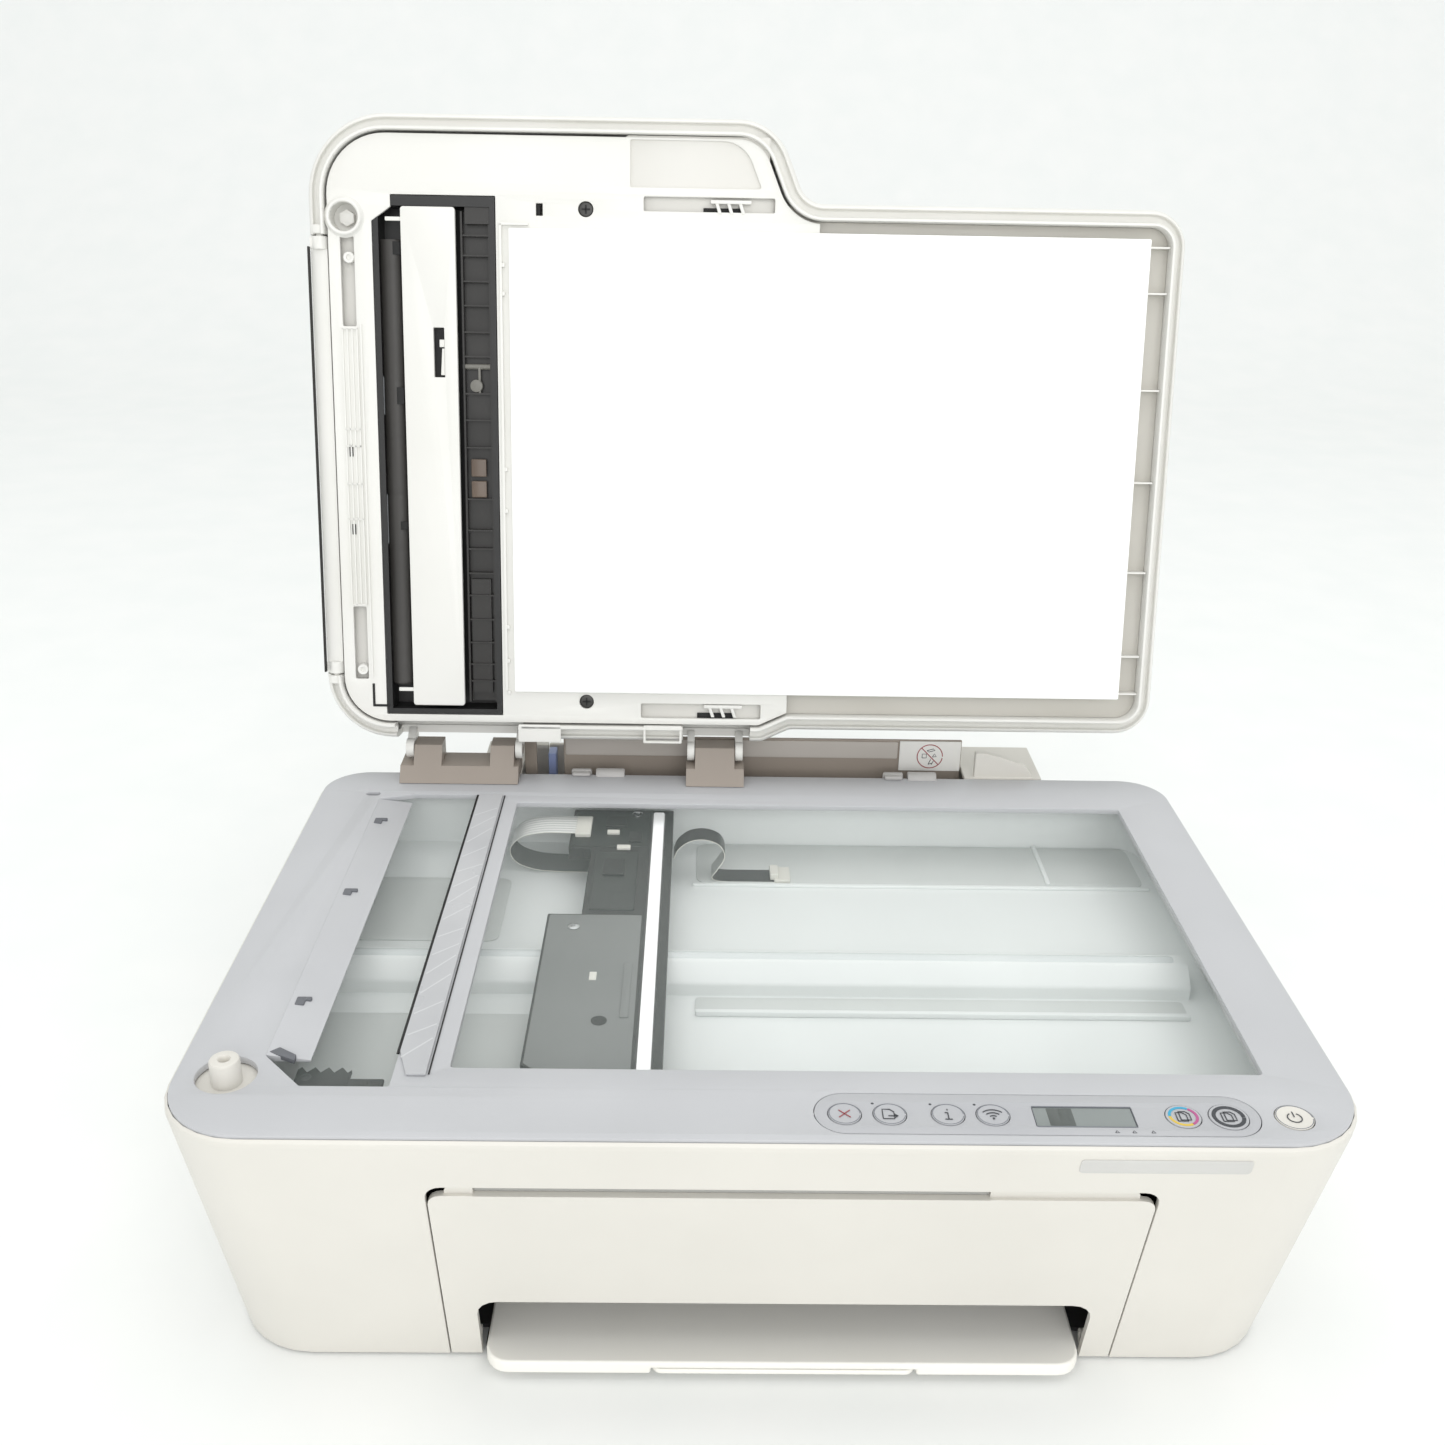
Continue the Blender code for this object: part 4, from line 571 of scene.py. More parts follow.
# ---- bezel ---------------------------------------------------------------------------------------
# The scanner's top frame is a cool grey ABS moulding with two windows. Left of the narrow one the
# plate ramps down so that a fed sheet is lifted off the glass, with four slots for the feeder's ribs.
grey_abs = plastic("moulded_cool_grey_abs", "#BFC0C3", "#BABBBE", 0.44, grain=0.8, depth=0.025)
POST, KEY_Y = (-228.5, -114), -133.3
ramp_side = outline([(-217.6, -0.15), (-201.2, -2.3), (-201.2, -3.0), (-217.6, -3.0)], 2)
bezel = make_piece("bezel_plate", together(
    plate([outline([(-247, -148, 31), (177, -148, 31), (177, 141.5, 21), (-247, 141.5, 21)], 16),
           rectangle(-149, -108.5, 149, 108.5, 1.8),
           outline([(-217.3, -102.2), (-201, -120, 1), (-169, -120, 1), (-169, 116.5, 1), (-201, 116.5, 1),
                    (-217.3, 110.9, 1)], 4),
           round_hole(*POST, 11), round_hole(151.7, KEY_Y, 7.0, 32),
           rectangle(-224.9, 114.4, -217.9, 118.4, 1.99),
           rectangle(-18, -144.1, 139.8, -121.4, 11.3, 12)], -2.8, 0.0, 0.35),
    stood_up(plate([ramp_side], -101.8, 110.8, 0.05)),
    pad((-225.9, 113.4, -216.9, 119.4, 2), -3.0, -2.6, 0.1)), grey_abs, "base")
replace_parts(bezel, "scanner_bezel")
make_piece("ramp_slots",
           together(*[plate([outline([(-215.2, y - 2.6, .4), (-211.6, y - 2.6, .4), (-211.6, y + 0.6, .4),
                                      (-209.4, y + 0.6, .4), (-209.4, y + 2.6, .4), (-215.2, y + 2.6, .4)],
                                     2)], -1.4, -0.2, 0.1) for y in (87.8, 19.2, -66.0)],
                    plate([outline([(-217.0, -99.5, .3), (-206.5, -104.5, .3), (-206.5, -101.2, .3),
                                    (-213.6, -96.6, .3)], 2)], -2.2, -0.28, 0.1),
                    pad((-224.3, 115.0, -218.5, 117.8, 1.3), -2.7, -2.5, 0.05)),
           plastic("shadowed_slot_grey", "#6C6E73", "#66686D", 0.6), "base")
post = make_piece("locating_post", together(
    turned([(0, 4.0), (1.7, 4.0), (2.0, 6.4), (2.4, 6.9), (4.3, 7.0), (5.1, 6.7), (5.5, 6.0), (5.5, -4.2),
            (0, -4.2)], (*POST, 0)),
    turned([(0, -3.2), (10.4, -3.2), (12.4, -3.4), (12.4, -6.0), (0, -6.0)], (*POST, 0))),
    white_abs, "base")
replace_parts(post, "lid_post")

# ---- control panel -------------------------------------------------------------------------------
# A satin polycarbonate film is glued in a lozenge-shaped recess, with domed keys under printed rings.
# Each key is a separate grey button with a shallow dish, and a small window shows the segment display.
key_holes = [round_hole(x, KEY_Y, r + 0.3, 32) for x, r in (
    (-7.1, 5.8), (8.8, 5.8), (29.3, 5.8), (45.1, 5.8), (112.3, 6.2), (128.4, 6.9))]
overlay = make_piece("panel_film_overlay", plate(
    [rectangle(-17.7, -143.8, 139.5, -121.7, 11.0, 12), rectangle(59.4, -139.5, 95.0, -128.0, 0.8)]
    + key_holes, -2.8, -0.1, 0.15), film_grey, "base")
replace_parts(overlay, "panel_overlay")
keys = {"cancel_button": (-7.1, 5.8), "resume_button": (8.8, 5.8), "info_button": (29.3, 5.8),
        "wireless_button": (45.1, 5.8), "colour_copy_button": (112.3, 6.2),
        "black_copy_button": (128.4, 6.9), "power_button": (151.7, 6.7)}
for node, (x, r) in keys.items():
    key = make_piece(node + "_key", turned([(0, -0.12), (r * 0.5, -0.08), (r * 0.85, 0.08), (r - 0.25, 0.2),
                                            (r - 0.02, 0.0), (r - 0.02, -3.0), (0, -3.0)], (x, KEY_Y, 0)),
                     white_abs if node == "power_button" else film_grey, node)
    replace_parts(key, node)


def ring_path(x, y, radius, start=0.0, end=360.0, count=40):
    """Arc of a circle, in degrees."""
    a = np.radians(np.linspace(start, end, count))
    return np.stack([x + radius * np.cos(a), y + radius * np.sin(a), 0 * a], -1)


ink_grey = plastic("screen_ink_grey", "#75787F", "#70737A", 0.45, grain=0.5, depth=0.004)
ink_dark = plastic("screen_ink_dark", "#3E4045", "#393B40", 0.45, grain=0.5, depth=0.004)
ink_red = plastic("screen_ink_red", "#A14A4E", "#984448", 0.45, grain=0.5, depth=0.004)


def page(x, y, s=1.0):
    """Sheet with a folded corner."""
    return [(x - 2 * s, y - 2.6 * s), (x + 2 * s, y - 2.6 * s), (x + 2 * s, y + 1.2 * s),
            (x + 0.6 * s, y + 2.6 * s), (x - 2 * s, y + 2.6 * s), (x - 2 * s, y - 2.6 * s)]


marks = {
    "cancel_button": [[(-9.1, KEY_Y - 2), (-5.1, KEY_Y + 2)], [(-9.1, KEY_Y + 2), (-5.1, KEY_Y - 2)]],
    "resume_button": [page(8.3, KEY_Y), [(8.2, KEY_Y - 1), (11.6, KEY_Y - 1)],
                      [(10.4, KEY_Y - 2), (11.6, KEY_Y - 1), (10.4, KEY_Y)]],
    "info_button": [[(29.3, KEY_Y - 2.6), (29.3, KEY_Y + 1.0)], [(28.2, KEY_Y + 1.0), (29.3, KEY_Y + 1.0)],
                    [(28.0, KEY_Y - 2.6), (30.6, KEY_Y - 2.6)], [(29.3, KEY_Y + 2.3), (29.3, KEY_Y + 3.0)]],
    "wireless_button": [*[ring_path(45.1, KEY_Y - 2, radius, 45, 135, count)
                          for radius, count in ((1.6, 12), (3.2, 14), (4.8, 16))],
                        ring_path(45.1, KEY_Y - 2, 0.3, 0, 360, 8)],
    "colour_copy_button": [page(111.7, KEY_Y - 0.2, 0.9), page(112.9, KEY_Y + 0.4, 0.9)],
    "black_copy_button": [page(127.8, KEY_Y - 0.2, 0.9), page(129.0, KEY_Y + 0.4, 0.9)],
    "power_button": [ring_path(151.7, KEY_Y - 0.2, 2.5, 118, 422, 28),
                     [(151.7, KEY_Y + 0.2), (151.7, KEY_Y + 3.2)]],
}
for node, lines in marks.items():
    x, r = keys[node]
    make_piece(node + "_mark", printed(lines, 0.38, 0.05, 0.12),
               ink_red if node == "cancel_button" else ink_dark, node)
    if node not in ("colour_copy_button", "black_copy_button"):
        make_piece(node + "_ring", printed([ring_path(x, KEY_Y, r - 0.35)[:-1]], 0.3, 0.16, 0.06), ink_grey,
                   node)
for colour, start, hexes in (("cyan", 60, "#3FA3C8"), ("yellow", 180, "#D8B94A"),
                             ("magenta", 300, "#B4568C")):
    make_piece("copy_ring_" + colour,
               printed([ring_path(112.3, KEY_Y, 4.8, start, start + 118, 20)], 1.0, 0.09, 0.1),
               plastic("screen_ink_" + colour, hexes, hexes, 0.45, grain=0.5, depth=0.004),
               "colour_copy_button")
make_piece("copy_ring_black", printed([ring_path(128.4, KEY_Y, 5.2, 0, 357, 44)], 1.4, 0.09, 0.1), ink_dark,
           "black_copy_button")
make_piece("panel_lamps",
           together(*[turned([(0, -0.08), (0.55, -0.08), (0.55, -0.3), (0, -0.3)], (x, y, 0), "z", 12)
                      for x, y in ((3.2, -127.3), (23.7, -127.5), (39.4, -127.5))],
                    *[printed([[(x - 0.7, -142.4), (x + 0.7, -142.4), (x, -141.2), (x - 0.7, -142.4)]], 0.3,
                              -0.09) for x in (86.9, 92.9, 99.5)]), ink_dark, "base")
display_glass = plastic("liquid_crystal_glass", "#8C9291", "#838988", 0.14, grain=5.0, depth=0.002)
soft_edged("display_window", "display_pane", display_glass, 0.15, 1)
make_piece("display_block", pad((64.5, -138.4, 73.5, -128.9, 0.4), -0.44, -0.34, 0.02),
           plastic("liquid_crystal_dark", "#5B605E", "#515654", 0.14, grain=5.0, depth=0.002), "base")
rim_corners = np.array([(59.6, -139.3, -0.3), (94.8, -139.3, -0.3), (94.8, -128.2, -0.3),
                        (59.6, -128.2, -0.3)])
make_piece("display_rim", carried(bar_section(0.5, 0.25), rim_corners, closed=True), ink_grey, "base")

# ---- cartridge door and trays --------------------------------------------------------------------
# The front door is a white ABS panel hinged at its foot, with a finger slot along its top and a
# cut-out over the output tray. The tray and its extender are flat grey-white plates that slide forwards.
soft_edged("cartridge_door", "front_door", white_abs, 0.5)
# The finger slot's floor is the door's white painted grey: painted shade in the recess.
slot_painted_shade = plastic("white_abs_slot_painted_shade", "#B5B5B2", "#AFAFAC", 0.5)
make_piece("finger_slot_floor", stood_up(pad((-137.2, -29.6, 45.1, -25.6, 0.4), 3.0, 3.7, 0.15)), slot_painted_shade,
           "door", on_front)
tray_abs = plastic("moulded_tray_abs", "#F5F3ED", "#F2F0E9", 0.4)
soft_edged("output_tray", "tray_plate", tray_abs, 1.2, 3)
soft_edged("tray_extender", "extender_plate", tray_abs, 0.5)

# ---- rear paper feed -----------------------------------------------------------------------------
# Behind the scanner a white housing takes plain paper. A taupe shield stands in its slot, kept down by
# clips on the bezel's back edge, and carries a paper label with a no-loose-items pictogram.
soft_edged("rear_housing", "paper_feed_housing", white_abs, 0.7)
soft_edged("paper_support", "paper_support_plate", white_abs, 0.8)
# Acetal: taupe, waxy and evenly satin, with hardly any grain.
taupe_acetal = plastic("moulded_taupe_acetal", "#9B9187", "#948A81", 0.4, grain=1.6, depth=0.01)
soft_edged("input_shield", "shield_plate", taupe_acetal, 0.5)
# The shield's lower band is the same acetal painted lighter: painted light showing through the thin
# translucent shield.
taupe_painted_light = plastic("taupe_acetal_painted_light", "#BDB7B1", "#B8B2AB", 0.4, grain=1.6, depth=0.01)
make_piece("shield_band", stood_up(pad((-129, 4.5, 44, 13.8, 0.8), 155.6, 156.2, 0.15)), taupe_painted_light,
           "shield")
soft_edged("paper_guide_left", "paper_guide_blue",
           plastic("moulded_blue_acetal", "#93A1CC", "#8A98C2", 0.35), 0.5)
soft_edged("paper_guide_right", "paper_guide_white", white_abs, 0.5)
make_piece("warning_label", stood_up(pad((45, -2, 77, 14.6, 0.3), 155.2, 155.7, 0.05)), label_white,
           "shield")


def on_label(points):
    """A printed point (x, z, lift) on the label's face: y = 155.2 - lift."""
    p = np.asarray(points, float)
    return on_base(np.stack([p[:, 0], 155.2 - p[:, 2], p[:, 1]], -1))


make_piece("label_ring",
           printed([ring_path(61, 6.3, 6.6, 0, 352, 48), [(56.6, 10.9), (65.6, 1.7)]], 0.5, 0.0, 0.08),
           ink_red, "shield", on_label)
make_piece("label_picture", printed([[(57.0, 5.4), (59.2, 5.4), (59.2, 7.6), (57.0, 7.6), (57.0, 5.4)],
                                     [(62.4, 6.0), (63.4, 7.8), (64.4, 6.2), (62.4, 6.0)],
                                     [(59.4, 9.6), (62.6, 10.6), (63.6, 9.8), (60.4, 8.8), (59.4, 9.6)],
                                     [(60.4, 1.8), (61.6, 4.6)], [(62.0, 1.6), (63.0, 3.6)],
                                     [(60.4, 1.8), (62.2, 2.4)]], 0.35, 0.0, 0.08), ink_dark, "shield",
           on_label)
clip_abs = plastic("moulded_clip_grey_abs", "#B7B5B3", "#B0AEAC", 0.42)
clips = []
for x0 in (-125.0, 35.4):
    clips.append(stood_up(pad((x0, -4.5, x0 + 10.5, 2.2, 1.2), 142.0, 144.6, 0.6)))
    clips.append(pad((x0 + 0.6, 138.6, x0 + 9.9, 144.0, 1.0), 0.1, 1.8, 0.5))
    clips.append(turned([(0, -7.5), (3.4, -7.3), (3.8, -6.6), (3.8, 6.6), (3.4, 7.3), (0, 7.5)],
                        (x0 + 20, 142.4, -0.9), "x", 28))
make_piece("cable_clips", together(*clips), clip_abs, "base")

# ---- hinge brackets ------------------------------------------------------------------------------
# The lid turns on two taupe acetal brackets, moulded whole with their pins and screwed into the bezel.
soft_edged("hinge_bracket_left", "left_hinge", taupe_acetal, 0.6)
soft_edged("hinge_bracket_right", "right_hinge", taupe_acetal, 0.6)

# ---- lid shell -----------------------------------------------------------------------------------
# The lid's outer shell is a white ABS moulding whose wall flares out from a thin rim to its widest
# line and turns over into the deck. It is cut out for the hinges and for the feeder's side cover.
lid_white = plastic("moulded_bright_white_abs", "#E7E6E2", "#E3E2DD", 0.4)
HINGE_Y, HINGE_W, LID_OPEN = 142.7, 13.4, math.radians(100.8)


def on_lid(points):
    """A point (x, y, w) of the shut lid, turned open about the hinge at (y0, w0) by the open angle:
    y' = y0 + c (y - y0) + s (w - w0), z' = w0 - s (y - y0) + c (w - w0)."""
    p = np.asarray(points, float)
    c, s = math.cos(LID_OPEN), math.sin(LID_OPEN)
    dy, dw = p[:, 1] - HINGE_Y, p[:, 2] - HINGE_W
    return on_base(np.stack([p[:, 0], HINGE_Y + c * dy + s * dw, HINGE_W - s * dy + c * dw], -1))


def lid_piece(name, shape, material=lid_white, body="lid"):
    """A piece drawn on the shut lid and turned open with it."""
    return make_piece(name, shape, material, body, on_lid)


def lid_plan(inset, steps=12):
    """Plan of the lid drawn in by an inset: deeper at the left, where the feeder sits."""
    i = inset
    return outline([(-246.5 + i, -162 + i, 38 - i), (-27 - 0.7 * i, -162 + i, 26 - i),
                    (-12 - 0.7 * i, -125 + i, 12 + i), (169 - i, -125 + i, 18 - i),
                    (169 - i, 130 - i, 18 - i), (-14 - 0.2 * i, 130 - i, 6), (-28 - 0.2 * i, 136.5 - i, 6),
                    (-246.5 + i, 136.5 - i, 32 - i)], steps)


def wall_of_rings(plan, profile):
    """A closed wall: the plan at each (height, inset) of a closed profile, joined ring to ring."""
    rings = [np.column_stack([plan(inset), np.full(len(plan(inset)), height)]) for height, inset in profile]
    points = np.stack(rings)
    return points.reshape(-1, 3), grid_faces(points.shape[0], points.shape[1], True, True)


def block(low, high):
    """Plain block between two corners, for cutting with."""
    x, y, z = np.meshgrid(*[(a, b) for a, b in zip(low, high)], indexing="ij")
    points = np.stack([x, y, z], -1).reshape(-1, 3)
    return points, [(0, 1, 3, 2), (4, 6, 7, 5), (0, 4, 5, 1), (2, 3, 7, 6), (0, 2, 6, 4), (1, 5, 7, 3)]


def less(shape, *blocks):
    """The shape with blocks cut out of it."""
    objects = []
    for k, (points, faces) in enumerate([shape, *blocks]):
        mesh = bpy.data.meshes.new("cut")
        mesh.from_pydata(np.asarray(points).tolist(), [], faces)
        tidy = bmesh.new()
        tidy.from_mesh(mesh)
        bmesh.ops.remove_doubles(tidy, verts=tidy.verts, dist=1e-4)
        bmesh.ops.recalc_face_normals(tidy, faces=tidy.faces)
        tidy.to_mesh(mesh)
        tidy.free()
        objects.append(bpy.data.objects.new("cut", mesh))
        bpy.context.scene.collection.objects.link(objects[-1])
    for tool in objects[1:]:
        step = objects[0].modifiers.new("cut", "BOOLEAN")
        step.operation, step.solver, step.object = "DIFFERENCE", "EXACT", tool
    bpy.context.view_layer.update()
    mesh = bpy.data.meshes.new_from_object(objects[0].evaluated_get(bpy.context.evaluated_depsgraph_get()))
    points = np.zeros(len(mesh.vertices) * 3)
    mesh.vertices.foreach_get("co", points)
    faces = [tuple(f.vertices) for f in mesh.polygons]
    for o in objects:
        bpy.data.objects.remove(o)
    return points.reshape(-1, 3), faces


COVER_BACK, COVER_FRONT = 103.6, -106.6
shell_profile = [(1.0, 7.1), (8.0, 6.7), (8.4, 6.2), (8.4, 3.6), (8.0, 3.1), (5.2, 2.9), (4.9, 2.5),
                 (5.2, 2.0), (6.5, 1.3), (9.0, 0.4), (13.0, 0.0), (21.0, 0.0), (23.2, 0.5), (24.5, 1.5),
                 (25.0, 3.0), (22.6, 4.2), (14.0, 3.0), (10.5, 4.0), (10.2, 8.6), (1.0, 8.6), (0.6, 8.3),
                 (0.6, 7.4)]
shell = lid_piece("lid_shell", less(
    wall_of_rings(lid_plan, shell_profile),
    block((-212.0, 126.6, -1.0), (-148.6, 140.0, 21.5)), block((-68.0, 126.6, -1.0), (-34.0, 140.0, 21.5)),
    block((-250.0, COVER_FRONT, -1.0), (-236.9, COVER_BACK, 30.0))))
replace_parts(shell, "lid_cover")
lid_piece("lid_deck", plate([lid_plan(3.4), rectangle(-236, -111, -100, 108, 4)], 22.5, 24.95, 0.2))
seam_shadow = plastic("shadowed_seam", "#2A2927", "#252422", 0.7)
lid_piece("cover_seam", pad((-246.3, -101, -245.4, 102, 0.2), 2.6, 5.0, 0.1), seam_shadow,
          "lid_flap")
lid_piece("cover_edge", pad((-245.0, -100.5, -237.4, 101.5, 0.8), 5.4, 6.6, 0.3), lid_white,
          "lid_flap")
lug_turn = np.pi * (0.1 - 1.2 * np.linspace(0, 1, 15))
lug = np.concatenate([[(135.0, 24.6), (139.0, 24.6), (147.0, 16.0)],
                      np.stack([HINGE_Y + 4.8 * np.cos(lug_turn), HINGE_W + 4.8 * np.sin(lug_turn)], -1),
                      [(136.8, 16.0), (133.5, 20.0)]])
lugs = []
for x0, x1 in ((-208.4, -204.4), (-153.1, -149.6), (-65.6, -61.9), (-41.1, -37.3)):
    points, faces = plate([lug, round_hole(HINGE_Y, HINGE_W, 2.8, 24)], x0, x1, 0.25)
    lugs.append((points[:, [2, 0, 1]], faces))
lid_piece("hinge_lugs", together(*lugs))
lid_piece("cover_knuckles",
          together(*[turned([(0, y0), (3.5, y0), (3.9, y0 + 0.4), (3.9, y1 - 0.4), (3.5, y1), (0, y1)],
                            (-241.0, 0, 7.0), "y", 28) for y0, y1 in ((103.9, 108.0), (-111.0, -106.9))],
                   *[turned([(0, y0), (1.8, y0), (1.8, y1), (0, y1)], (-241.0, 0, 7.0), "y", 20)
                     for y0, y1 in ((98.6, 104.5), (-107.5, -101.6))]))

# ---- lid frame -----------------------------------------------------------------------------------
# Under the lid a flat white frame closes the shell. It is pierced for the feeder, two screws, clips and
# channels, and a round cup with a hexagonal core drops over the bezel's locating post.
FRAME_LOW, FRAME_HIGH = 3.0, 5.4
frame_openings = [
    outline([(-216, 123, .5), (-158, 123, .5), (-158, -125, .5), (-207, -125, .5), (-207, -119.5, .5),
             (-216, -113, .5)], 3),
    rectangle(-88.7, -126, -27.2, -119.4, 0.8, 3), rectangle(-231, -106, -224.5, -65, 0.8, 3),
    rectangle(-231, 69, -224.5, 105.3, 0.8, 3), round_hole(-228.5, -114.5, 8.3),
    round_hole(-115.8, -119.8, 3.6, 24), round_hole(-116.2, 115.5, 3.6, 24),
    rectangle(-139.1, -122.1, -135.9, -116.5, 0.2, 2),
    outline([(-95, -130, 0.6), (-95, -151, 0.6), (-42, -151, 15), (-33.5, -130, 1)], 8),
    rectangle(-89, 116, -29, 123.5, 0.8, 3)]
frame_plate = less(plate([lid_plan(10.0), *frame_openings], FRAME_LOW, FRAME_HIGH, 0.25),
                   block((149.5, -135, 0), (175, 135, 9)), block((-6, -135, 0), (150, -109.8, 9)),
                   block((-16, 109.8, 0), (150, 135, 9)))
cup = turned([(6.6, 11.9), (6.6, 1.2), (7.0, 0.7), (7.6, 0.6), (8.2, 1.0), (8.4, 2.0), (9.4, 3.0),
              (9.4, 4.0), (8.2, 5.0), (8.2, 13.8), (0, 13.8), (0, 11.9), (6.6, 11.9)], (-228.5, -114.5, 0))
hexagon = outline([(-228.5 + 3.9 * math.cos(math.radians(60 * k + 30)),
                    -114.5 + 3.9 * math.sin(math.radians(60 * k + 30)), 0.3) for k in range(6)], 2)
frame_piece = lid_piece("lid_frame_plate", together(frame_plate, cup, plate([hexagon], 8.2, 12.2, 0.3)))
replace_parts(frame_piece, "lid_frame")
# The channel and recess floors are the lid's white painted greyer: painted shade in the recesses and beside
# the backing, since the shade from their depth alone is weak.
recess_painted_shade = plastic("white_abs_recess_painted_shade", "#DEDCD7", "#D9D7D1", 0.45)
lid_piece("frame_channel_floor",
          less(plate([lid_plan(8.7)], 8.4, 9.2, 0.1), block((-260, -170, 5), (-20, 140, 12))),
          plastic("white_abs_channel_painted_shade", "#CBC8C1", "#C5C2BA", 0.45))
lid_piece("frame_recess_floors", together(
    pad((-90, -127.5, -26, -118, 1), 6.6, 7.6, 0.2), pad((-232, -107, -223.5, -64, 1), 8.0, 9.0, 0.2),
    pad((-232, 68, -223.5, 106.3, 1), 8.0, 9.0, 0.2), pad((-97, -153, -30, -128.5, 1), 4.4, 5.4, 0.2),
    pad((-90.5, 115, -27.5, 124.5, 1), 6.6, 7.6, 0.2)), recess_painted_shade)
lid_piece("frame_bosses", together(*[turned([(0, 7.9), (0, 4.4), (1.1, 4.2), (1.3, 3.4), (2.4, 3.3),
                                             (2.7, 3.8), (2.7, 7.9), (0, 7.9)], (x, y, 0), "z", 24)
                                     for x, y in ((-227.2, -96.4), (-227.4, 100.6))]))
# Near-black plates behind the clip slots, notches and the bar's slit, and in the screw crosses, are painted
# shade: the dark of holes and recesses, not a black part.
hole_painted_shade = plastic("painted_shade_in_holes", "#1A1A1A", "#161616", 0.7)
lid_piece("frame_dark_holes", together(
    pad((-60.8, -121.5, -42.5, -118.9, 0.3), 5.5, 6.5, 0.1),
    pad((-60.8, 121.0, -42.5, 123.6, 0.3), 5.5, 6.5, 0.1),
    pad((-139.3, -122.3, -137.2, -116.3, 0.2), 4.6, 5.2, 0.1),
    pad((-229.9, -9.5, -228.1, -4.0, 0.2), 2.6, 3.05, 0.05),
    pad((-229.9, 28.5, -228.1, 33.5, 0.2), 2.6, 3.05, 0.05),
    plate([outline([(-222.8, 107.5, .2), (-221.6, 107.5, .2), (-221.6, 118.0, .2), (-214.5, 118.0, .2),
                    (-214.5, 119.2, .2), (-222.8, 119.2, .2)], 2)], 2.7, 3.05, 0.05)), hole_painted_shade)
fins = []
for y0, y1 in ((-124.8, -119.9), (116.4, 121.4)):
    fins.append(pad((-57.4, y0, -38.3, y0 + 1.6, 0.3), 2.2, 6.4, 0.25))
    fins += [plate([outline([(x, y0 + 0.8, .2), (x + 1.6, y0 + 0.8, .2), (x + 3.4, y1 + 1.2, .2),
                             (x + 1.8, y1 + 1.2, .2)], 2)], 2.6, 6.2, 0.2) for x in (-55.5, -50.0, -44.5)]
lid_piece("lid_clips", together(*fins))
screw_black = plastic("black_oxide_steel", "#3D3C3A", "#353432", 0.35, grain=0.6)
cross = (np.array([[-2.0, 0], [2.0, 0]]), np.array([[0, -2.0], [0, 2.0]]))
screws, crosses = [], []
for x, y in ((-115.8, -119.8), (-116.2, 115.5)):
    screws.append(turned([(0, 3.9), (2.2, 3.7), (3.1, 3.9), (3.5, 4.5), (3.5, 5.2), (0, 5.2)], (x, y, 0),
                         "z", 28))
    crosses.append(printed([line + np.array([x, y]) for line in cross], 0.8, 3.45, 0.35))
lid_piece("lid_screws", together(*screws), screw_black)
lid_piece("lid_screw_crosses", together(*crosses), hole_painted_shade)
ribs = [block((150.6, y - 0.4, 2.9), (159.8, y + 0.4, 8.5)) for y in (-107, -86, -41, 3, 47, 89, 108)]
ribs += [carried(bar_section(1.1, 1.9), [(-155.7, 110, 1.2), (-155.7, -112.6, 1.2)]),
         carried(bar_section(1.1, 1.9), [(-156.2, -112.6, 1.2), (-142.6, -112.6, 1.2)])]
ribs += [pad((-155.3, y - 1.0, -153.9, y + 1.0, 0.4), 1.4, 3.0, 0.3)
         for y in (-94, -81, 1, 21, 78, 95, 111)]
ribs += [carried(bar_section(0.7, 0.9), [(x, 68, 2.15), (x, -64, 2.15)])
         for x in (-231.2, -228.9, -226.6, -224.3)]
ribs += [carried(bar_section(0.7, 0.9), [(-231.5, y, 2.15), (-224.0, y, 2.15)])
         for y in (-17, -9, 9, 26, 68, -64)]
ribs += [carried(bar_section(0.8, 1.0), [(-222.4, 104, 2.05), (-222.4, -66, 2.05)])]
ribs += [plate([rectangle(-87.7, 127.2, -68.4, 136.0, 0.6), rectangle(-86.5, 128.2, -69.6, 135.0, 0.4)],
               0.8, 4.0, 0.25), pad((-150.3, 127.2, -129.0, 136.0, 0.8), 0.6, 1.8, 0.3)]
lid_piece("frame_ribs", together(*ribs))

# ---- scan backing --------------------------------------------------------------------------------
# A white polyester film on thin foam presses the sheet on the glass. It is the brightest thing on the
# printer.
backing_white = plastic("white_polyester_on_foam", "#FFFFFE", "#FDFDFB", 0.55, grain=12.0, depth=0.05)
backing = lid_piece("backing_sheet", pad((-151.8, -110.7, 150.3, 110.5, 0.8), 0.9, 2.7, 0.35),
                    backing_white)
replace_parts(backing, "scan_backing")

# ---- feeder path ---------------------------------------------------------------------------------
# The feeder's underside is a black well. A white pressure bar lies over the narrow glass, a dark grey
# guide panel turns the sheet at its left, and a ribbed strip carries it away at its right.
refinish(black_abs, "feeder_path", "feeder_chute")
bar = lid_piece("pressure_bar",
                together(plate([rectangle(-202.2, -119.6, -176.8, 117.9, 1.4),
                                rectangle(-188.0, -65.0, -182.9, -42.0, 0.4)], 1.4, 4.2, 0.35),
                         pad((-209.5, -114.9, -202.0, -113.1, 0.4), 2.2, 3.4, 0.2),
                         pad((-209.5, 109.2, -202.0, 111.0, 0.4), 2.2, 3.4, 0.2),
                         pad((-185.4, -59.5, -183.1, -56.0, 0.3), 2.6, 4.0, 0.2),
                         plate([outline([(-184.2, -55.4, .2), (-183.1, -55.4, .2), (-183.1, -43.0, .2),
                                         (-185.0, -43.0, .2)], 2)], 2.6, 4.0, 0.2)))
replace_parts(bar, "feeder_pressure_bar")
lid_piece("bar_slit_back", pad((-189.0, -66.5, -181.9, -40.5, 0.4), 4.3, 4.9, 0.1), hole_painted_shade)


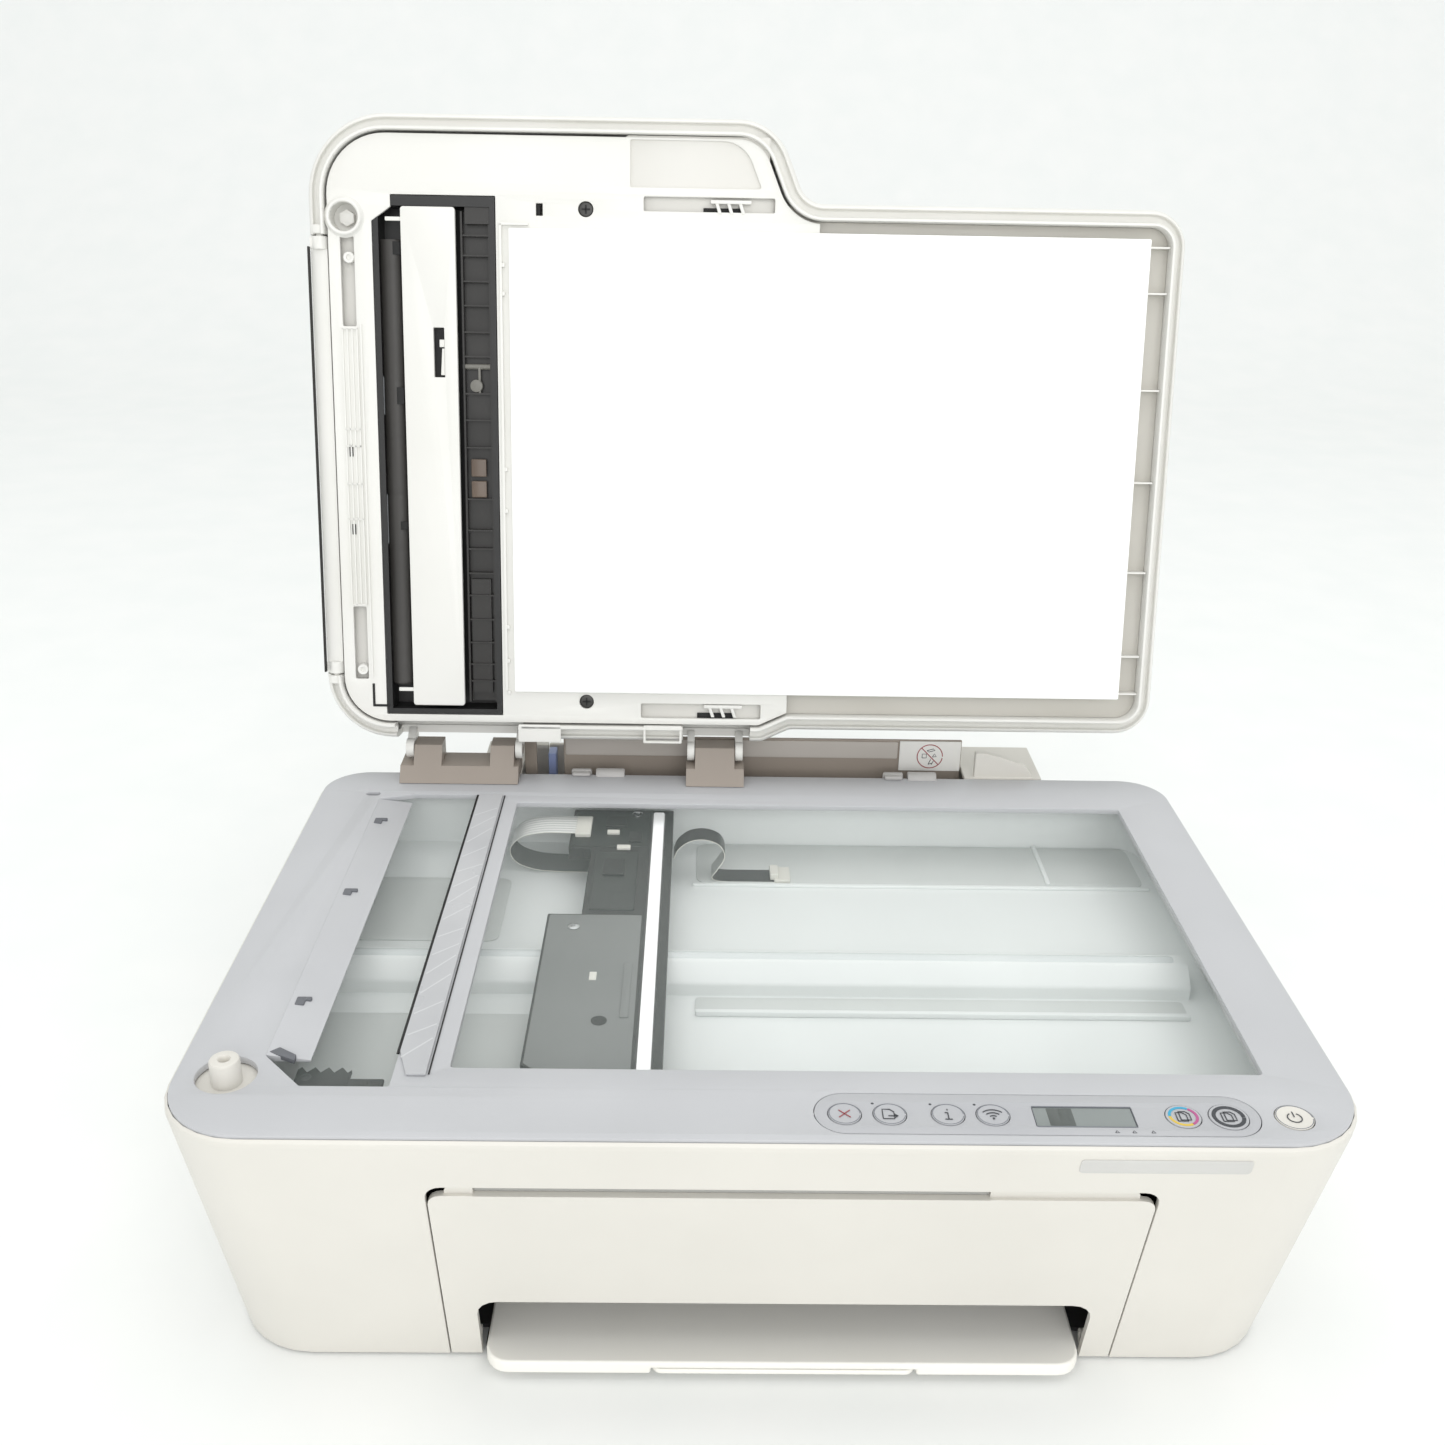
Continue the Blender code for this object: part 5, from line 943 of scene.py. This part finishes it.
def guide_skin(rows=14, cols=160):
    """The guide's skin: x from -213 to -203.3 along u, w = 4.6 + 3.4 (1 - sin(pi u / 1.15)), with a seam
    0.35 mm deep and 0.45 mm wide every 26.5 mm along y."""
    u = np.linspace(0, 1, rows)[:, None]
    y = np.linspace(-105.0, 108.0, cols)[None, :]
    seam = np.exp(-(((y + 105) % 26.5 - 13.2) / 0.45) ** 2) * 0.35
    w = 4.6 + 3.4 * (1 - np.sin(np.pi * u / 1.15)) + seam
    return np.stack([-213.0 + 9.7 * u + 0 * y, y + 0 * u, w], -1).reshape(-1, 3), grid_faces(rows, cols)


guide_grey = plastic("moulded_charcoal_abs", "#403E3C", "#393735", 0.5)
guide_panel = lid_piece("guide_panel", guide_skin(), guide_grey)
backing_wall = guide_panel.modifiers.new("wall", "SOLIDIFY")
backing_wall.thickness, backing_wall.offset = 0.0012, 0.0
lid_piece("guide_notches", together(*[pad((-206.6, a, -203.2, b, 0.3), 3.9, 4.9, 0.1)
                                      for a, b in ((-104, -98), (-37, -29), (27, 31))]), hole_painted_shade)
lid_piece("guide_pads",
          together(*[pad((-215.2, a, -212.8, b, 0.4), 4.4, 6.4, 0.3) for a, b in ((-42, -24), (14, 38))]),
          plastic("grey_felt_pad", "#8A8D90", "#828588", 0.7))
rib_y = [-107.3, -98.2, -86.5, -75.4, -63.2, -51.9, -34.5, -22.0, -9.0, 15.8, 31.0, 40.0, 52.0, 63.0, 75.0,
         86.5, 97.5, 106.0]
strip = [block((-174.4, y0 - 0.4, 5.3), (-161.4, y0 + 0.4, 9.4)) for y0 in rib_y]
strip += [block((-174.8, -118.0, 4.6), (-173.9, 116.5, 10.0)),
          block((-161.9, -118.0, 5.0), (-161.1, 116.5, 10.0)),
          block((-174.8, -118.0, 9.3), (-161.1, 116.5, 10.2))]
strip += [block((-173.0, 55.0, 6.4), (-163.4, 112.0, 9.4)),
          block((-172.6, -122.0, 4.4), (-161.2, -112.4, 8.0))]
lid_piece("rib_strip", together(*strip), plastic("moulded_ribbed_black_abs", "#252321", "#1F1D1B", 0.4))
lid_piece("feeder_spindle", together(
    turned([(0, -175.0), (1.3, -175.0), (1.3, -161.0), (0, -161.0)], (0, -47.2, 6.6), "x", 18),
    turned([(0, -2.0), (2.9, -1.6), (3.1, 0), (2.9, 1.6), (0, 2.0)], (-168.6, -38.2, 6.4), "z", 24),
    block((-167.6, -47.0, 5.4), (-166.6, -34.8, 7.0))),
    plastic("moulded_mid_grey_acetal", "#77756F", "#6E6C66", 0.4))
lid_piece("roller_windows", together(*[pad((-172.0, a, -164.6, b, 0.6), 5.7, 7.4, 0.5)
                                       for a, b in ((-3.5, 5.0), (7.0, 15.0))]),
          plastic("aged_polyurethane_roller", "#6B5C50", "#51453C", 0.3))

# ---- feeder housing ------------------------------------------------------------------------------
# The document feeder stands on the lid as a low white box with round corners, open at its right where
# sheets come out, and its left side is a hinged cover that swings out to clear a jam.


def hump_plan(inset, steps=12):
    """The feeder housing's plan drawn in by an inset."""
    i = inset
    return outline([(-244.5 + i, -158.8 + i, 34 - i), (-30 - i, -158.8 + i, 22 - i),
                    (-30 - i, 133.3 - i, 8), (-244.5 + i, 133.3 - i, 28 - i)], steps)


hump = lid_piece("feeder_box", less(wall_of_rings(hump_plan, [(25.3, 1.2), (35.0, 1.7), (45.0, 2.3),
                                                              (47.6, 2.9), (49.3, 4.2), (50.0, 6.2),
                                                              (47.6, 7.2), (44.0, 5.2), (25.3, 3.6)]),
                                    block((-250.0, COVER_FRONT, 10.0), (-234.0, COVER_BACK, 60.0)),
                                    block((-50.0, -110.0, 27.3), (-25.0, 107.0, 45.0))))
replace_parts(hump, "feeder_housing")
lid_piece("feeder_deck",
          plate([hump_plan(6.0), rectangle(-236.5, COVER_FRONT, -117, COVER_BACK, 1, 3)], 47.6, 49.95, 0.2))
soft_edged("feeder_cover", "feeder_side_cover", lid_white, 0.35)
soft_edged("feeder_input_tray", "document_tray", lid_white, 0.6)
soft_edged("feeder_guide_rear", "sheet_guide_back_plate", lid_white, 0.5)
soft_edged("feeder_guide_front", "sheet_guide_front_plate", lid_white, 0.5)
refinish(plastic("solder_masked_green_board", "#1C4A32", "#17402B", 0.35), "main_board")

# ---- studio --------------------------------------------------------------------------------------
# A pale paper sweep, an even white surround and two large soft lights. The camera stands in front, a
# little above the lid's middle.
bend = np.radians(np.linspace(0, 90, 24))
sweep_side = np.concatenate([[(-8, 0)], np.stack([1.6 + 1.1 * np.sin(bend), 1.1 * (1 - np.cos(bend))], -1),
                             [(2.7, 8)]])
sweep_points = np.stack([np.insert(sweep_side, 0, x, axis=1) for x in (-12, 12)], 1).reshape(-1, 3)
floor_mesh = bpy.data.meshes.new("studio_floor")
floor_mesh.from_pydata(sweep_points.tolist(), [], grid_faces(len(sweep_side), 2))
floor_mesh.materials.append(plastic("white_paper_sweep", "#F4F5F4", "#F1F3F2", 0.7, grain=30.0, depth=0.05))
floor_mesh.shade_smooth()
floor = bpy.data.objects.new("studio_floor", floor_mesh)
bpy.context.scene.collection.objects.link(floor)

world = bpy.data.worlds.new("studio_surround")
bpy.context.scene.world = world
world.use_nodes = True
world.node_tree.nodes["Background"].inputs["Color"].default_value = linear("#FAFBFA")
world.node_tree.nodes["Background"].inputs["Strength"].default_value = 0.9


def soft_light(name, place, turn, width, height, power):
    """A rectangular soft light."""
    lamp = bpy.data.lights.new(name, "AREA")
    lamp.shape, lamp.size, lamp.size_y, lamp.energy = "RECTANGLE", width, height, power
    light = bpy.data.objects.new(name, lamp)
    light.location = place
    light.rotation_euler = [math.radians(a) for a in turn]
    bpy.context.scene.collection.objects.link(light)


soft_light("overhead", (0.1, -0.1, 2.4), (0, 0, 0), 2.6, 2.2, 16)
soft_light("front_fill", (0.3, -2.4, 1.2), (72, 0, 6), 2.2, 1.6, 24)

lens = bpy.data.cameras.new("camera")
lens.sensor_width, lens.lens, lens.clip_end = 36.0, 38.18, 100.0
camera = bpy.data.objects.new("camera", lens)
camera.location = (-0.02509, -0.61856, 0.46846)
camera.rotation_euler = [math.radians(a) for a in (66.611, -1.024, -0.539)]
bpy.context.scene.collection.objects.link(camera)
bpy.context.scene.camera = camera
bpy.context.scene.view_settings.view_transform = "Standard"
bpy.context.scene.view_settings.look = "None"
